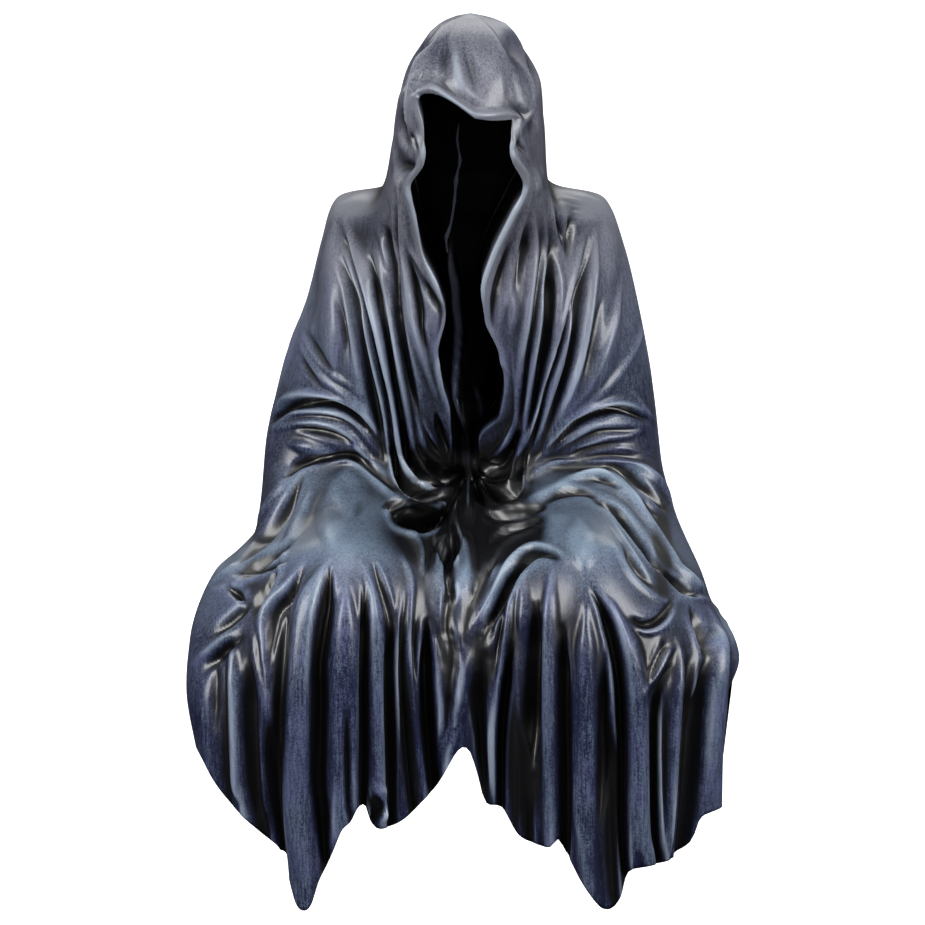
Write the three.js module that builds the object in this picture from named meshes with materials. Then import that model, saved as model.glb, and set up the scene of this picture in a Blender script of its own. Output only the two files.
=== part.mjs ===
// Seated hooded figure: an empty robe cast in resin, made to sit on the edge of a shelf.
// Millimetres, +Z up. The figure faces -Y and its own left hand is on +X.
// The origin is the middle of the flat seat; the shelf edge runs along X at WALL_Y.
import * as THREE from "three";

// Driving sizes
const CROWN_Z = 285;          // top of the hood above the seat
const WALL_Y = -58;           // flat back of the legs, against the front of the shelf
const FRONT_WALL_GAP = 0.12;  // slope that keeps the skirt in front of the shelf
const EDGE_THICK = 3;         // cloth edge at the hem
const UNDER_RISE = 7;         // how far the underside is let in above the hem
const RIGHT_FLANK_X = 114.5;  // widest the outer right edge may be below the seat
const LIP_U = 0.055;          // place of the robe's open edge, as a share of the way round
const WAIST_V = 0.63;         // below this the rows close up to the seat level
const SLOPE = (22 * Math.PI) / 180;   // lean of the plane the folds are drawn on
const SLOPE_COS = Math.cos(SLOPE);
const SLOPE_SIN = Math.sin(SLOPE);

// How fine the surface is cut up
const HOLLOW_STEPS = [-1, -0.93, -0.85, -0.7, -0.38, 0, 0.38, 0.7, 0.85, 0.93, 1];
const SIDE_COLUMNS = 30;
const REAR_COLUMNS = 16;
const UPPER_ROWS = [
  0, 0.02, 0.045, 0.075, 0.1, 0.114, 0.12, 0.127, 0.14, 0.17, 0.205, 0.235, 0.26, 0.285, 0.31,
  0.34, 0.37, 0.4, 0.43, 0.452, 0.47, 0.486, 0.5, 0.513, 0.525, 0.537, 0.548, 0.559, 0.57,
  0.582, 0.595, 0.612, WAIST_V,
];
const KNEE_ROWS = 10;
const SKIRT_ROWS = 9;
const FINEST_UPRIGHT = 2.4;   // narrowest half width the surface can carry, upright folds
const FINEST_LEVEL = 3.4;     // and level folds, where the rows lie further apart

// Lengthwise guide curves. Each row: share of the way down (0 crown, 1 hem), x, y, z.
const crown = [0, 2, -8, CROWN_Z];
const front = [
  crown, [0.03, 2, -26, 283.5], [0.06, 2, -40, 277.5], [0.09, 3, -51, 267], [0.12, 4, -58, 253.3],
  [0.16, 1, -57, 243.5], [0.2, 1, -56, 231], [0.235, 0, -54, 217.5], [0.28, -1, -51, 202],
  [0.33, -5, -47, 183.4], [0.38, -4, -46, 166.5], [0.42, -2, -45, 152], [0.46, 0, -41, 133.7],
  [0.5, 3, -36, 117], [0.535, 3, -28, 99], [0.56, 0, -19, 84], [0.59, 0, -8, 61],
  [0.62, 0, -32, 55], [0.68, 0, -80, 43], [0.75, 0, -95, 22], [0.82, 0, -99, -5],
  [0.9, 0, -98, -45], [1, 0, -96, -105],
];
const rightLip = [
  crown, [0.03, 9, -24, 283], [0.06, 15, -36, 276], [0.09, 19, -45, 264], [0.12, 20.5, -50, 250],
  [0.16, 20, -52, 242.7], [0.2, 20.5, -53, 232], [0.235, 25.9, -49, 217.5], [0.28, 20, -48, 203.6],
  [0.33, 11.5, -46, 183.5], [0.38, 7.5, -46, 167.6], [0.42, 9, -43, 151.5],
  [0.46, 15, -38, 133.7], [0.5, 17.4, -32, 116.8], [0.535, 15.2, -24, 99.1],
  [0.56, 6.2, -16, 83.9], [0.59, 6.2, -6, 61.5], [0.62, 12, -35, 57], [0.68, 16, -82, 46],
  [0.75, 18, -97, 25], [0.82, 19, -101, -5], [0.9, 19, -100, -45], [1, 19, -98, -105],
];
const leftLip = [
  crown, [0.03, -6, -24, 283], [0.06, -12, -36, 277.5], [0.09, -18, -45, 270],
  [0.12, -21.9, -50, 261.1], [0.16, -18.7, -53, 245], [0.2, -18.7, -53, 231],
  [0.235, -25.4, -49, 217.5], [0.28, -22.7, -46, 201.8], [0.33, -19.6, -42, 183.4],
  [0.38, -12.5, -42, 166], [0.42, -9.4, -42, 153], [0.46, -12.9, -38, 133.7],
  [0.5, -11.2, -33, 117.2], [0.535, -7.6, -26, 99.9], [0.56, -7.1, -17, 84.3],
  [0.59, -6.2, -6, 63], [0.62, -12, -35, 57], [0.68, -16, -82, 46], [0.75, -18, -97, 25],
  [0.82, -19, -101, -5], [0.9, -19, -100, -45], [1, -19, -98, -105],
];
const knee = [
  crown, [0.03, 11, -18, 282.5], [0.06, 17, -29, 276], [0.12, 30, -32, 252], [0.2, 32, -32, 228],
  [0.26, 37, -28, 203], [0.31, 46, -14, 183], [0.36, 48, -23.7, 163.3], [0.42, 45, -32, 140.3],
  [0.46, 42, -32.9, 124.3], [0.5, 38, -30.8, 108.6], [0.535, 34, -26.7, 91.8],
  [0.56, 31.5, -22.8, 79.5], [0.59, 36, -33, 70.5], [0.62, 44, -51.5, 66.8],
  [0.65, 52, -69.7, 65], [0.68, 57, -86, 62], [0.75, 58, -108, 36], [0.82, 59, -113, 5],
  [0.9, 60, -113, -40], [1, 60, -111, -105],
];
const rightArm = [
  crown, [0.03, 15.6, -12, 280.5], [0.06, 21.3, -17.5, 272.2], [0.12, 32.8, -18, 250],
  [0.2, 34.6, -16.6, 223.8], [0.26, 37.8, -10, 200], [0.31, 57.8, 0.4, 183.4],
  [0.36, 63.7, -4.4, 163.5], [0.42, 69.3, -8.6, 137.8], [0.5, 75.7, -11.4, 96.9],
  [0.56, 77.2, -15.9, 73.6], [0.59, 77.9, -26.3, 65.7], [0.62, 79.2, -40.3, 57.3],
  [0.68, 87.5, -71.8, 43.6], [0.75, 96.1, -94.9, 17.8], [0.82, 94.2, -103.2, -8.8],
  [0.9, 92.5, -105, -47.5], [1, 91.6, -103.4, -113],
];
const leftArm = [
  crown, [0.03, -11.6, -12, 280], [0.06, -18.2, -17.5, 271.8], [0.12, -29.3, -18, 249.5],
  [0.2, -33.2, -16.6, 223.8], [0.26, -38.1, -10, 200], [0.31, -55.7, 0.4, 183.4],
  [0.36, -60.3, -4.4, 163.5], [0.42, -65.7, -8.6, 137.8], [0.5, -76, -11.4, 96.9],
  [0.56, -79.8, -15.9, 73.6], [0.59, -79.3, -26.3, 65.7], [0.62, -78.6, -40.3, 57.3],
  [0.68, -92.6, -71.8, 43.6], [0.75, -98, -94.9, 17.8], [0.82, -98.7, -103.2, -8.8],
  [0.9, -95.9, -105, -47.5], [1, -90.2, -103.4, -113],
];
const leftSide = [
  crown, [0.03, -12.5, -5, 278.5], [0.06, -19.8, -4, 269], [0.12, -28.5, -3, 249.4],
  [0.2, -33, 0, 221.7], [0.26, -37.5, 8, 197.5], [0.285, -51, 12, 191.5], [0.31, -60, 14, 184.3],
  [0.36, -65, 14, 165.5], [0.42, -71.4, 12, 139.9], [0.5, -84.3, 8, 98.3], [0.56, -90.5, 2, 76.6],
  [0.62, -93.2, -18, 51], [0.645, -96, -27, 41.5], [0.66, -103.5, -34, 36.8],
  [0.68, -113.3, -42, 30.8], [0.75, -124.3, -62, 6.3], [0.82, -126, -72, -13.7],
  [0.9, -121.8, -76, -41], [1, -114, -76, -94],
];
const rightSide = [
  crown, [0.03, 17.8, -5, 279], [0.06, 24.1, -4, 269], [0.12, 33.5, -3, 249.4],
  [0.2, 35.2, 0, 221.7], [0.26, 37, 8, 199.2], [0.285, 55, 12, 191.9], [0.31, 63.8, 14, 184.8],
  [0.36, 71.2, 14, 165.5], [0.42, 77.5, 12, 139.9], [0.5, 84.3, 8, 98.3], [0.56, 86.5, 2, 76.6],
  [0.59, 88.5, -8, 64], [0.62, 93.4, -18, 51], [0.68, 106.5, -42, 29.5], [0.715, 111, -52, 18.5],
  [0.735, 115, -58, 11.5], [0.75, 121, -62, 5], [0.775, 123, -66, -2], [0.82, 118.5, -71, -14.5],
  [0.9, 115, -76, -41], [1, 114, -76, -94],
];
const hip = [
  crown, [0.03, 12, 3, 278.5], [0.06, 20.5, 8, 269], [0.12, 30.5, 12, 251], [0.2, 35, 16, 224],
  [0.26, 37, 22, 194.5], [0.31, 61.5, 28, 185], [0.36, 68, 30, 166], [0.42, 73.5, 30, 142],
  [0.5, 82, 30, 106], [0.62, 87, 18, 60], [0.66, 88, 9, 37], [0.7, 94, 4, 26], [0.75, 102, 0, 16],
  [0.88, 106, -8, 8], [1, 108, -14, -6],
];
const quarter = [
  crown, [0.03, 8, 8, 277.3], [0.06, 15, 16, 269.5], [0.12, 24, 24, 252.5], [0.2, 28, 30, 226],
  [0.26, 30, 36, 197], [0.285, 38, 37, 186.5], [0.31, 48, 38, 182.5], [0.36, 54, 44, 168],
  [0.42, 58, 48, 144], [0.5, 64, 50, 114], [0.62, 72, 50, 76], [0.75, 80, 48, 42],
  [0.88, 84, 50, 16], [1, 87, 52, -6],
];
const back = [
  crown, [0.03, 2, 11, 275.8], [0.06, 2, 21, 270], [0.12, 2, 32, 254], [0.2, 1, 39, 229],
  [0.26, 0, 43, 205], [0.31, 0, 50, 190], [0.36, 0, 57, 172], [0.42, 0, 62, 148],
  [0.5, 0, 66, 118], [0.62, 0, 67, 80], [0.75, 0, 66, 46], [0.88, 0, 69, 18], [1, 0, 73, -6],
];
// The hood and shoulders lean to the right, so their left side is mirrored about x = lean.
const HOOD_LEAN = 2;
const LEAN_ENDS = [0.42, 0.5];
const mirrored = (guide, lean = 0) => guide.map(([v, x, y, z]) => {
  const upper = 1 - THREE.MathUtils.smoothstep(v, ...LEAN_ENDS);
  return [v, v === 0 ? x : 2 * lean * upper - x, y, z];
});

// Where the guides stand round the robe: 0 front, 0.25 the figure's left, 0.5 back.
const GUIDES = [
  [0, front], [LIP_U, rightLip], [0.145, knee], [0.222, rightArm], [0.285, rightSide],
  [0.345, hip], [0.42, quarter], [0.5, back],
  [0.58, mirrored(quarter, HOOD_LEAN)], [0.655, mirrored(hip, HOOD_LEAN)],
  [0.715, leftSide], [0.778, leftArm], [0.855, mirrored(knee)], [1 - LIP_U, leftLip],
];

// How far the hollow goes in behind the open edge, down the robe.
const HOLLOW_DEPTH = [
  [0.12, 0], [0.127, 26], [0.137, 44], [0.16, 50], [0.2, 50], [0.26, 46], [0.31, 40],
  [0.38, 36], [0.46, 32], [0.5, 28], [0.535, 20], [0.56, 9], [0.578, 0],
];
const HOLLOW_VAULT = [[0.12, 0], [0.13, 7], [0.145, 11], [0.17, 8], [0.22, 0]];

// Ragged hem, on the drawing plane: a across, b up.
const HEM = [
  [-140, -61.2], [-124, -65.2], [-119.5, -70.2], [-112.4, -82.9], [-101.7, -95.8], [-91, -105.6],
  [-84, -111.4], [-80.5, -122.2], [-76.7, -136.2], [-73, -139.7], [-69.6, -137.2], [-66, -126.2],
  [-58.9, -111], [-55.3, -102.5], [-48.2, -92.7], [-44.6, -92.2], [-41, -102], [-33.9, -101.6],
  [-26.8, -97.6], [-19.6, -90.4], [-12.5, -82.4], [-5.4, -69.9], [-1.8, -65.9], [1.8, -68.1],
  [5.4, -79.3], [8.9, -91.3], [16, -93.2], [23.2, -105.2], [30.3, -109.2], [37.5, -111],
  [41, -107.2], [44.6, -112.7], [51.7, -126.6], [58.9, -136.8], [64, -139.2], [69.6, -133.7],
  [73, -122.2], [80, -119.9], [91, -117.2], [98, -112.7], [105.3, -98.5], [109, -96.2],
  [116, -93.2], [118, -89.2], [124, -77.2], [140, -67.2],
];
// Lower edge of the flat back of the legs: x, z.
const BACK_HEM = [
  [-95, -60], [-62, -78], [-30, -58], [-12, -30], [0, -22], [12, -32], [30, -60], [62, -78],
  [95, -74],
];

// Folds: height (hollows below zero), reach to the left or below, reach to the right or above,
// crispness, then a few points of the fold's line on the drawing plane.
const HOOD_FOLDS = [
  [1.8, 1.6, 6, 0.4, [[-14.5, 252], [-23, 232], [-25.5, 220], [-22, 204]]],
  [-2.2, 3.5, 2, 0.2, [[-18, 248], [-26, 230], [-28, 220], [-24, 203]]],
  [1.6, 5, 1.5, 0.4, [[21, 251], [26.3, 230], [27.3, 219], [22, 208]]],
  [-2.4, 4, 3.5, 0, [[-0.5, 244], [1, 236], [4.5, 227], [8, 219]]],
  [-1.8, 3, 3.2, 0, [[-8, 246], [-7.5, 237], [-5.5, 223]]],
  [1.5, 2.2, 2.6, 0.2, [[-25.5, 217], [-19.5, 228], [-8, 221], [5, 214], [18, 217], [26, 211]]],
  [1.8, 2, 2.4, 0.3, [
    [-25.5, 214], [-18.8, 200], [-26.6, 183], [-20.5, 158], [-7.5, 126], [-11.5, 99], [-6, 80],
  ]],
  [1.8, 2.4, 2, 0.3, [
    [22.5, 209], [20, 197], [27, 184], [20.5, 170], [8.4, 141], [9, 120], [20, 101],
  ]],
];
const CHEST_FOLDS = [
  [2, 2.2, 2.2, 0.2, [[-32, 188], [-28.5, 155], [-25.5, 125], [-18, 104]]],
  [-4.5, 2.2, 2.2, 0.3, [[-33.5, 158], [-32, 132], [-27.5, 108], [-16, 84]]],
  [-3, 3, 3, 0, [[-17, 94], [-13, 86], [-9, 70]]],
  [2.4, 2.2, 1.8, 0.3, [[-37, 160], [-31, 121], [-26, 96], [-15, 72]]],
  [-4.5, 2.6, 2.2, 0.2, [[-43, 160], [-36.5, 122], [-29.5, 83], [-24.5, 62], [-11, 52]]],
  [2.6, 2.6, 2.2, 0.3, [[-52, 166], [-42, 122], [-33, 82], [-27, 59], [-7, 49]]],
  [-3.4, 1.8, 1.8, 0.3, [[-57, 169], [-48, 128], [-38, 80], [-27, 50], [-9, 47]]],
  [-4.5, 4, 5, 0, [[-53, 122], [-47, 98], [-39, 70]]],
  [3, 7, 5, 0, [[-59, 172], [-59, 138], [-54, 97]]],
  [2, 2.5, 2.5, 0.1, [[29, 185], [30, 158], [26.5, 118], [23.5, 95]]],
  [1.8, 1.6, 1.6, 0.5, [[37, 183], [35.4, 158], [34.6, 122], [27, 77]]],
  [-4.8, 2.2, 3, 0.2, [[36.8, 172], [38, 136], [34.5, 100], [30, 78]]],
  [-3.2, 1.6, 1.6, 0.2, [[48.5, 180], [46, 161], [44.5, 154]]],
  [2, 3.5, 3, 0, [[44.5, 150], [42.5, 128], [41, 116]]],
  [-5, 3, 3, 0.1, [[51, 130], [44.5, 100], [35.5, 72]]],
  [2.8, 3, 3.5, 0.1, [[58, 160], [55, 124], [46.5, 92], [35, 68]]],
  [-2.4, 3, 2, 0.1, [[66.5, 140], [57.5, 103], [48, 86]]],
  [2.2, 2.5, 2.5, 0.1, [[70, 135], [60, 100], [42, 80]]],
];
const SLEEVE_FOLDS = [
  [2.4, 3, 2.5, 0.1, [[-75, 113], [-63, 97.5], [-50, 86.5], [-41, 72]]],
  [2.4, 2, 2.2, 0.3, [[-90.5, 79], [-83, 89], [-66, 91], [-52, 86], [-38, 66]]],
  [-6, 1.8, 2.2, 0.2, [[-88, 80], [-75, 86.4], [-60, 86], [-50, 79.6], [-41, 68.5]]],
  [1.8, 1.8, 1.6, 0.2, [[-87, 76], [-70, 80], [-54, 75], [-38, 55]]],
  [-3, 2.5, 1.4, 0.2, [[-62, 64], [-77, 61], [-87, 50.5], [-94, 38]]],
  [2, 1.8, 2, 0.3, [[38, 70], [50, 82], [67, 88.8], [85, 79.5]]],
  [-5.5, 2, 2.2, 0.2, [[42, 73.5], [58, 82.8], [78.5, 81]]],
  [-2.8, 1.6, 1.6, 0.3, [[46, 65.8], [62, 70.8], [70, 70]]],
  [2.2, 2.4, 2, 0.2, [[58, 62], [73, 63.8], [90.5, 50]]],
  [-3.6, 2, 2, 0.2, [[66, 61], [79, 52.5], [89, 41.5]]],
  [1.8, 2, 1.8, 0.2, [[38, 53], [61, 57], [82, 39]]],
];
const LAP_FOLDS = [
  [2.4, 3.5, 3.5, 0, [[-79, 54], [-89, 38.5], [-100, 23]]],
  [-2.8, 3.4, 3, 0.1, [[-78, 50], [-85, 35], [-101, 19]]],
  [2, 4, 4, 0, [[-103, 22], [-108, 18.5], [-113, 14]]],
  [-3.2, 3, 3, 0.1, [[-82, 27], [-87, 19.5], [-107, 9.5]]],
  [2.2, 3, 3, 0.1, [[-81.5, 30], [-86, 10], [-93, -18], [-91, -60]]],
  [2.2, 3.5, 3, 0.1, [[-96, -5], [-109, -16], [-121, -26]]],
  [-6, 2.2, 2.6, 0.2, [[-29, 36], [-17, 33.5], [-6, 39]]],
  [2.6, 2.2, 2, 0.2, [[-21, 84], [-16.5, 66.5], [-3, 66]]],
  [-4, 2, 2, 0.2, [[25, 80], [17, 62], [11, 59.5]]],
  [2.2, 1.8, 1.8, 0.3, [[31, 84], [23.5, 57], [14.5, 49.5], [6.5, 56]]],
  [2.4, 2.2, 1.8, 0.3, [[44, 46.5], [62, 46.8], [75, 40.5], [90, 20], [106, 7]]],
  [-4, 2.6, 2.2, 0.2, [[60, 43.5], [73, 36], [82, 22.5], [89, 12.5]]],
  [-4.5, 2, 2.2, 0.2, [[91, 13], [101.5, 2.8]]],
  [-3.2, 1.6, 2, 0.2, [[75.5, -9], [85, -11], [93, -3.5]]],
  [-3.5, 2.4, 2.4, 0.1, [[98, -2], [106, -16], [108.5, -24]]],
  [2, 5, 4.5, 0, [[41, 22], [30, 25], [18.8, 16], [6, -8]]],
  [-3.6, 4, 4, 0, [[18, -8], [11, -34], [10, -76]]],
];
const LEFT_SKIRT_FOLDS = [
  [-3, 2, 2.2, 0.2, [[-110, -20], [-113, -45], [-110, -78]]],
  [3.2, 2.2, 2.6, 0.3, [[-102.5, -12], [-105.2, -58], [-103, -98]]],
  [-4.5, 4, 4, 0.1, [[-100.5, -30], [-97, -60], [-93, -110]]],
  [-3.4, 3.2, 3, 0.1, [[-78, 6], [-84, -16], [-83, -38]]],
  [-3.5, 1.8, 1.4, 0.4, [[-82, -36], [-81.6, -80], [-80.8, -122]]],
  [4, 2.2, 6, 0.3, [[-71, 15], [-77.5, -22], [-78.8, -85], [-74, -146]]],
  [-5, 2.4, 1.8, 0.2, [[-63.5, 15], [-69, -20], [-68.2, -82], [-62, -116]]],
  [3, 3.5, 3.5, 0.2, [[-57, 16], [-57.5, -40], [-61, -120]]],
  [-4.2, 1.7, 1.6, 0.2, [[-45.2, 5], [-44.8, -42], [-44, -98]]],
  [3.2, 2, 2.8, 0.3, [[-46, 24], [-41.6, -14], [-39.5, -108]]],
  [-3, 2.4, 1.8, 0.1, [[-34.5, -8], [-35, -45], [-34, -108]]],
  [-4, 1.8, 1.6, 0.2, [[-28.2, 12], [-28.3, -38], [-26.5, -104]]],
  [2.2, 1.6, 1.6, 0.2, [[-28, 20], [-24.8, -40], [-20, -96]]],
  [-5.5, 2.8, 3, 0.1, [[-18, 2], [-18, -42], [-14, -92]]],
  [2.4, 2.6, 2.2, 0.2, [[-12.5, 10], [-12.2, -40], [-12, -80]]],
  [2.4, 1.2, 5, 0.5, [[-5.5, 46], [-5.5, 22], [-3.8, 0], [-7.4, -48], [-1.5, -64]]],
  [-4, 2, 1.2, 0.3, [[-8, 40], [-8.8, 14], [-5.6, -12], [-9, -50]]],
];
const RIGHT_SKIRT_FOLDS = [
  [-5.5, 3.4, 2.6, 0.1, [[29.5, 8], [31, -46], [32, -114]]],
  [3.6, 2.2, 2.4, 0.3, [[36.5, 18], [35.6, -30], [38, -116]]],
  [2, 2, 2, 0.2, [[22, -4], [18, -40], [17, -94]]],
  [-3.2, 1.5, 1.4, 0.2, [[44.5, -12], [46, -44], [47, -120]]],
  [3, 4.5, 4, 0.1, [[53, 14], [54, -34], [54.4, -126]]],
  [-6, 2.2, 1.8, 0.2, [[59, 1], [68.3, -32], [70.6, -84], [72.6, -126]]],
  [1.8, 3.5, 3.5, 0, [[65, -58], [64.5, -145]]],
  [3.2, 2, 6, 0.3, [[66, -6], [73.4, -48], [75, -86], [77, -130]]],
  [-3.2, 1.8, 1.6, 0.2, [[85.5, -42], [84.4, -76], [86.5, -124]]],
  [2.4, 2, 2, 0.2, [[96, -9], [88, -25], [78, -42]]],
  [-3.4, 1.8, 1.6, 0.2, [[93.8, -20], [89, -62], [90, -118]]],
  [2.4, 2.2, 2.2, 0.2, [[96, -10], [95.2, -40], [91, -120]]],
  [-5, 3.2, 2.6, 0.1, [[105.5, -28], [104, -62], [101, -114]]],
  [3, 3.5, 5, 0.1, [[112, -3], [111.8, -42], [111, -110]]],
];
const FOLDS = [
  ...HOOD_FOLDS, ...CHEST_FOLDS, ...SLEEVE_FOLDS, ...LAP_FOLDS, ...LEFT_SKIRT_FOLDS,
  ...RIGHT_SKIRT_FOLDS,
];

// Back of the robe: broad folds that deepen downwards, and shallow ones on the hood.
const BACK_FOLD_DEPTH = 3;
const HOOD_BACK_DEPTH = 0.9;

// Small helpers
const clamp = (x, low, high) => Math.min(high, Math.max(low, x));
function ease(x, from, to) {
  const t = clamp((x - from) / (to - from), 0, 1);
  return t * t * (3 - 2 * t);
}
function lookUp(table, x, outside) {
  const last = table.length - 1;
  if (x <= table[0][0]) return outside ?? table[0][1];
  if (x >= table[last][0]) return outside ?? table[last][1];
  let i = 0;
  while (table[i + 1][0] < x) i++;
  const share = (x - table[i][0]) / (table[i + 1][0] - table[i][0]);
  return table[i][1] + share * (table[i + 1][1] - table[i][1]);
}
function halve(test, low, high) {
  for (let n = 0; n < 44; n++) {
    const middle = (low + high) / 2;
    if (test(middle)) low = middle;
    else high = middle;
  }
  return (low + high) / 2;
}

// Slopes that never overshoot the rows of a guide.
function guideSlopes(guide) {
  const count = guide.length;
  const slopes = guide.map(() => [0, 0, 0]);
  for (let axis = 0; axis < 3; axis++) {
    const step = [];
    const rate = [];
    for (let i = 0; i + 1 < count; i++) {
      step.push(guide[i + 1][0] - guide[i][0]);
      rate.push((guide[i + 1][axis + 1] - guide[i][axis + 1]) / step[i]);
    }
    slopes[0][axis] = rate[0];
    slopes[count - 1][axis] = rate[count - 2];
    for (let i = 1; i + 1 < count; i++) {
      if (rate[i - 1] * rate[i] <= 0) continue;
      const w1 = 2 * step[i] + step[i - 1];
      const w2 = step[i] + 2 * step[i - 1];
      slopes[i][axis] = (w1 + w2) / (w1 / rate[i - 1] + w2 / rate[i]);
    }
  }
  return slopes;
}
const SLOPES = new Map(GUIDES.map(([, guide]) => [guide, guideSlopes(guide)]));

function hermite(p0, m0, p1, m1, t, h) {
  const t2 = t * t;
  const t3 = t2 * t;
  const a = 2 * t3 - 3 * t2 + 1;
  const b = (t3 - 2 * t2 + t) * h;
  const c = -2 * t3 + 3 * t2;
  const d = (t3 - t2) * h;
  return [0, 1, 2].map((k) => a * p0[k] + b * m0[k] + c * p1[k] + d * m1[k]);
}
function guideAt(guide, v) {
  const slopes = SLOPES.get(guide);
  let i = 0;
  while (i < guide.length - 2 && guide[i + 1][0] <= v) i++;
  const h = guide[i + 1][0] - guide[i][0];
  const t = (v - guide[i][0]) / h;
  return hermite(guide[i].slice(1), slopes[i], guide[i + 1].slice(1), slopes[i + 1], t, h);
}

// Robe without folds: guides joined all the way round.
function robeAt(u, v) {
  const count = GUIDES.length;
  const place = ((u % 1) + 1) % 1;
  let i = count - 1;
  while (GUIDES[i][0] > place) i--;
  const at = (k) => {
    const turn = Math.floor(k / count);
    const [where, guide] = GUIDES[k - turn * count];
    return [where + turn, guideAt(guide, v)];
  };
  const [k0, p0] = at(i);
  const [k1, p1] = at(i + 1);
  const [kBefore, before] = at(i - 1);
  const [kAfter, after] = at(i + 2);
  const h0 = k0 - kBefore;
  const h1 = k1 - k0;
  const h2 = kAfter - k1;
  const slope = (pa, pb, pc, ha, hb) =>
    [0, 1, 2].map((k) => (((pb[k] - pa[k]) / ha) * hb + ((pc[k] - pb[k]) / hb) * ha) / (ha + hb));
  const m0 = slope(before, p0, p1, h0, h1);
  const m1 = slope(p0, p1, after, h1, h2);
  return hermite(p0, m0, p1, m1, (place - k0) / h1, h1);
}

// Robe with its open front pushed in behind the lips, u counted from -0.5 to 0.5.
const BRIM_V = 0.12;
const BRIM_RISE = 4.5;
const HOLLOW_WIDEN = 0.22;
function openRobeAt(u, v) {
  const point = robeAt(u, v);
  const across = Math.abs(u) / LIP_U;
  if (across >= 1) return point;
  if (u < 0) {
    point[2] += BRIM_RISE * Math.sin(Math.PI * across) * Math.exp(-(((v - BRIM_V) / 0.03) ** 2));
  }
  const inward = 1 - ease(across, 0.78, 1);
  const depth = lookUp(HOLLOW_DEPTH, v, 0) * inward;
  const middle = (robeAt(LIP_U, v)[0] + robeAt(-LIP_U, v)[0]) / 2;
  point[0] = middle + (point[0] - middle) * (1 + HOLLOW_WIDEN * clamp(depth / 40, 0, 1));
  point[1] += depth;
  point[2] += lookUp(HOLLOW_VAULT, v, 0) * inward;
  return point;
}
const drawn = (point) => [point[0], point[2] * SLOPE_COS + point[1] * SLOPE_SIN];
const seatRow = (u) => halve((v) => robeAt(u, v)[2] > 0, 0.6, 1);
function hemRow(u, from) {
  return halve((v) => {
    const [a, b] = drawn(robeAt(u, v));
    return b > lookUp(HEM, a);
  }, from, 1);
}
const cornerPlace = (side) =>
  side * halve((w) => robeAt(side * w, seatRow(side * w))[1] < WALL_Y, 0.24, 0.345);

// A smooth line through a fold's points.
function smoothLine(points, step) {
  const last = points.length - 1;
  const extra = (p, q) => [2 * p[0] - q[0], 2 * p[1] - q[1]];
  const row = [extra(points[0], points[1]), ...points, extra(points[last], points[last - 1])];
  const line = [];
  for (let i = 1; i < row.length - 2; i++) {
    const [a, b, c, d] = [row[i - 1], row[i], row[i + 1], row[i + 2]];
    const pieces = Math.max(2, Math.ceil(Math.hypot(c[0] - b[0], c[1] - b[1]) / step));
    for (let n = 0; n < pieces; n++) {
      const t = n / pieces;
      line.push([0, 1].map((k) => 0.5 * (2 * b[k] + (c[k] - a[k]) * t
        + (2 * a[k] - 5 * b[k] + 4 * c[k] - d[k]) * t * t
        + (3 * b[k] - a[k] - 3 * c[k] + d[k]) * t * t * t)));
    }
  }
  line.push(points[last]);
  return line;
}
const FOLD_STEP = 3;
const LINES = FOLDS.map(([height, left, right, crisp, points]) => {
  const line = smoothLine(points, FOLD_STEP);
  const along = [0];
  for (let i = 1; i < line.length; i++) {
    along.push(along[i - 1] + Math.hypot(line[i][0] - line[i - 1][0], line[i][1] - line[i - 1][1]));
  }
  const rise = Math.abs(line[line.length - 1][1] - line[0][1]);
  const level = Math.abs(line[line.length - 1][0] - line[0][0]);
  const finest = (FINEST_UPRIGHT * rise + FINEST_LEVEL * level) / (rise + level);
  const reach = [Math.max(left, finest), Math.max(right, finest)];
  const widest = Math.max(...reach);
  const low = [0, 1].map((k) => Math.min(...line.map((point) => point[k])) - widest);
  const high = [0, 1].map((k) => Math.max(...line.map((point) => point[k])) + widest);
  return { height, reach, crisp, line, along, low, high, length: along[along.length - 1] };
});
function foldHeight(fold, a, b) {
  const { low, high } = fold;
  if (a < low[0] || a > high[0] || b < low[1] || b > high[1]) return 0;
  let nearest = Infinity;
  let side = 1;
  let travel = 0;
  for (let i = 0; i + 1 < fold.line.length; i++) {
    const [ax, ay] = fold.line[i];
    const dx = fold.line[i + 1][0] - ax;
    const dy = fold.line[i + 1][1] - ay;
    const t = clamp(((a - ax) * dx + (b - ay) * dy) / (dx * dx + dy * dy), 0, 1);
    const ex = a - ax - t * dx;
    const ey = b - ay - t * dy;
    const gap = ex * ex + ey * ey;
    if (gap >= nearest) continue;
    nearest = gap;
    side = dx * ey - dy * ex > 0 ? 1 : 0;
    travel = fold.along[i] + t * (fold.along[i + 1] - fold.along[i]);
  }
  const d = Math.sqrt(nearest) / fold.reach[side];
  if (d >= 1) return 0;
  const profile = (1 - fold.crisp) * (1 - d * d) ** 2 + fold.crisp * (1 - d) ** 1.5;
  const fade = Math.min(9, 0.3 * fold.length);
  return fold.height * profile * ease(travel, 0, fade) * ease(fold.length - travel, 0, fade);
}
function backRelief(u, v) {
  const w = Math.abs(u);
  const rear = ease(w, 0.3, 0.36);
  const side = Math.sign(u);
  const x = (w - 0.3) / 0.2;
  const wave = (turns, drift, lag) => Math.cos(2 * Math.PI * (turns * x + drift * v + lag * side));
  const robe = BACK_FOLD_DEPTH * ease(v, 0.32, 0.6) * rear * wave(2.4, 0.4, 0.1);
  const hood = HOOD_BACK_DEPTH * ease(v, 0.13, 0.2) * (1 - ease(v, 0.24, 0.3)) * rear;
  return robe + hood * wave(1.7, 0, 0.2);
}

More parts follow.
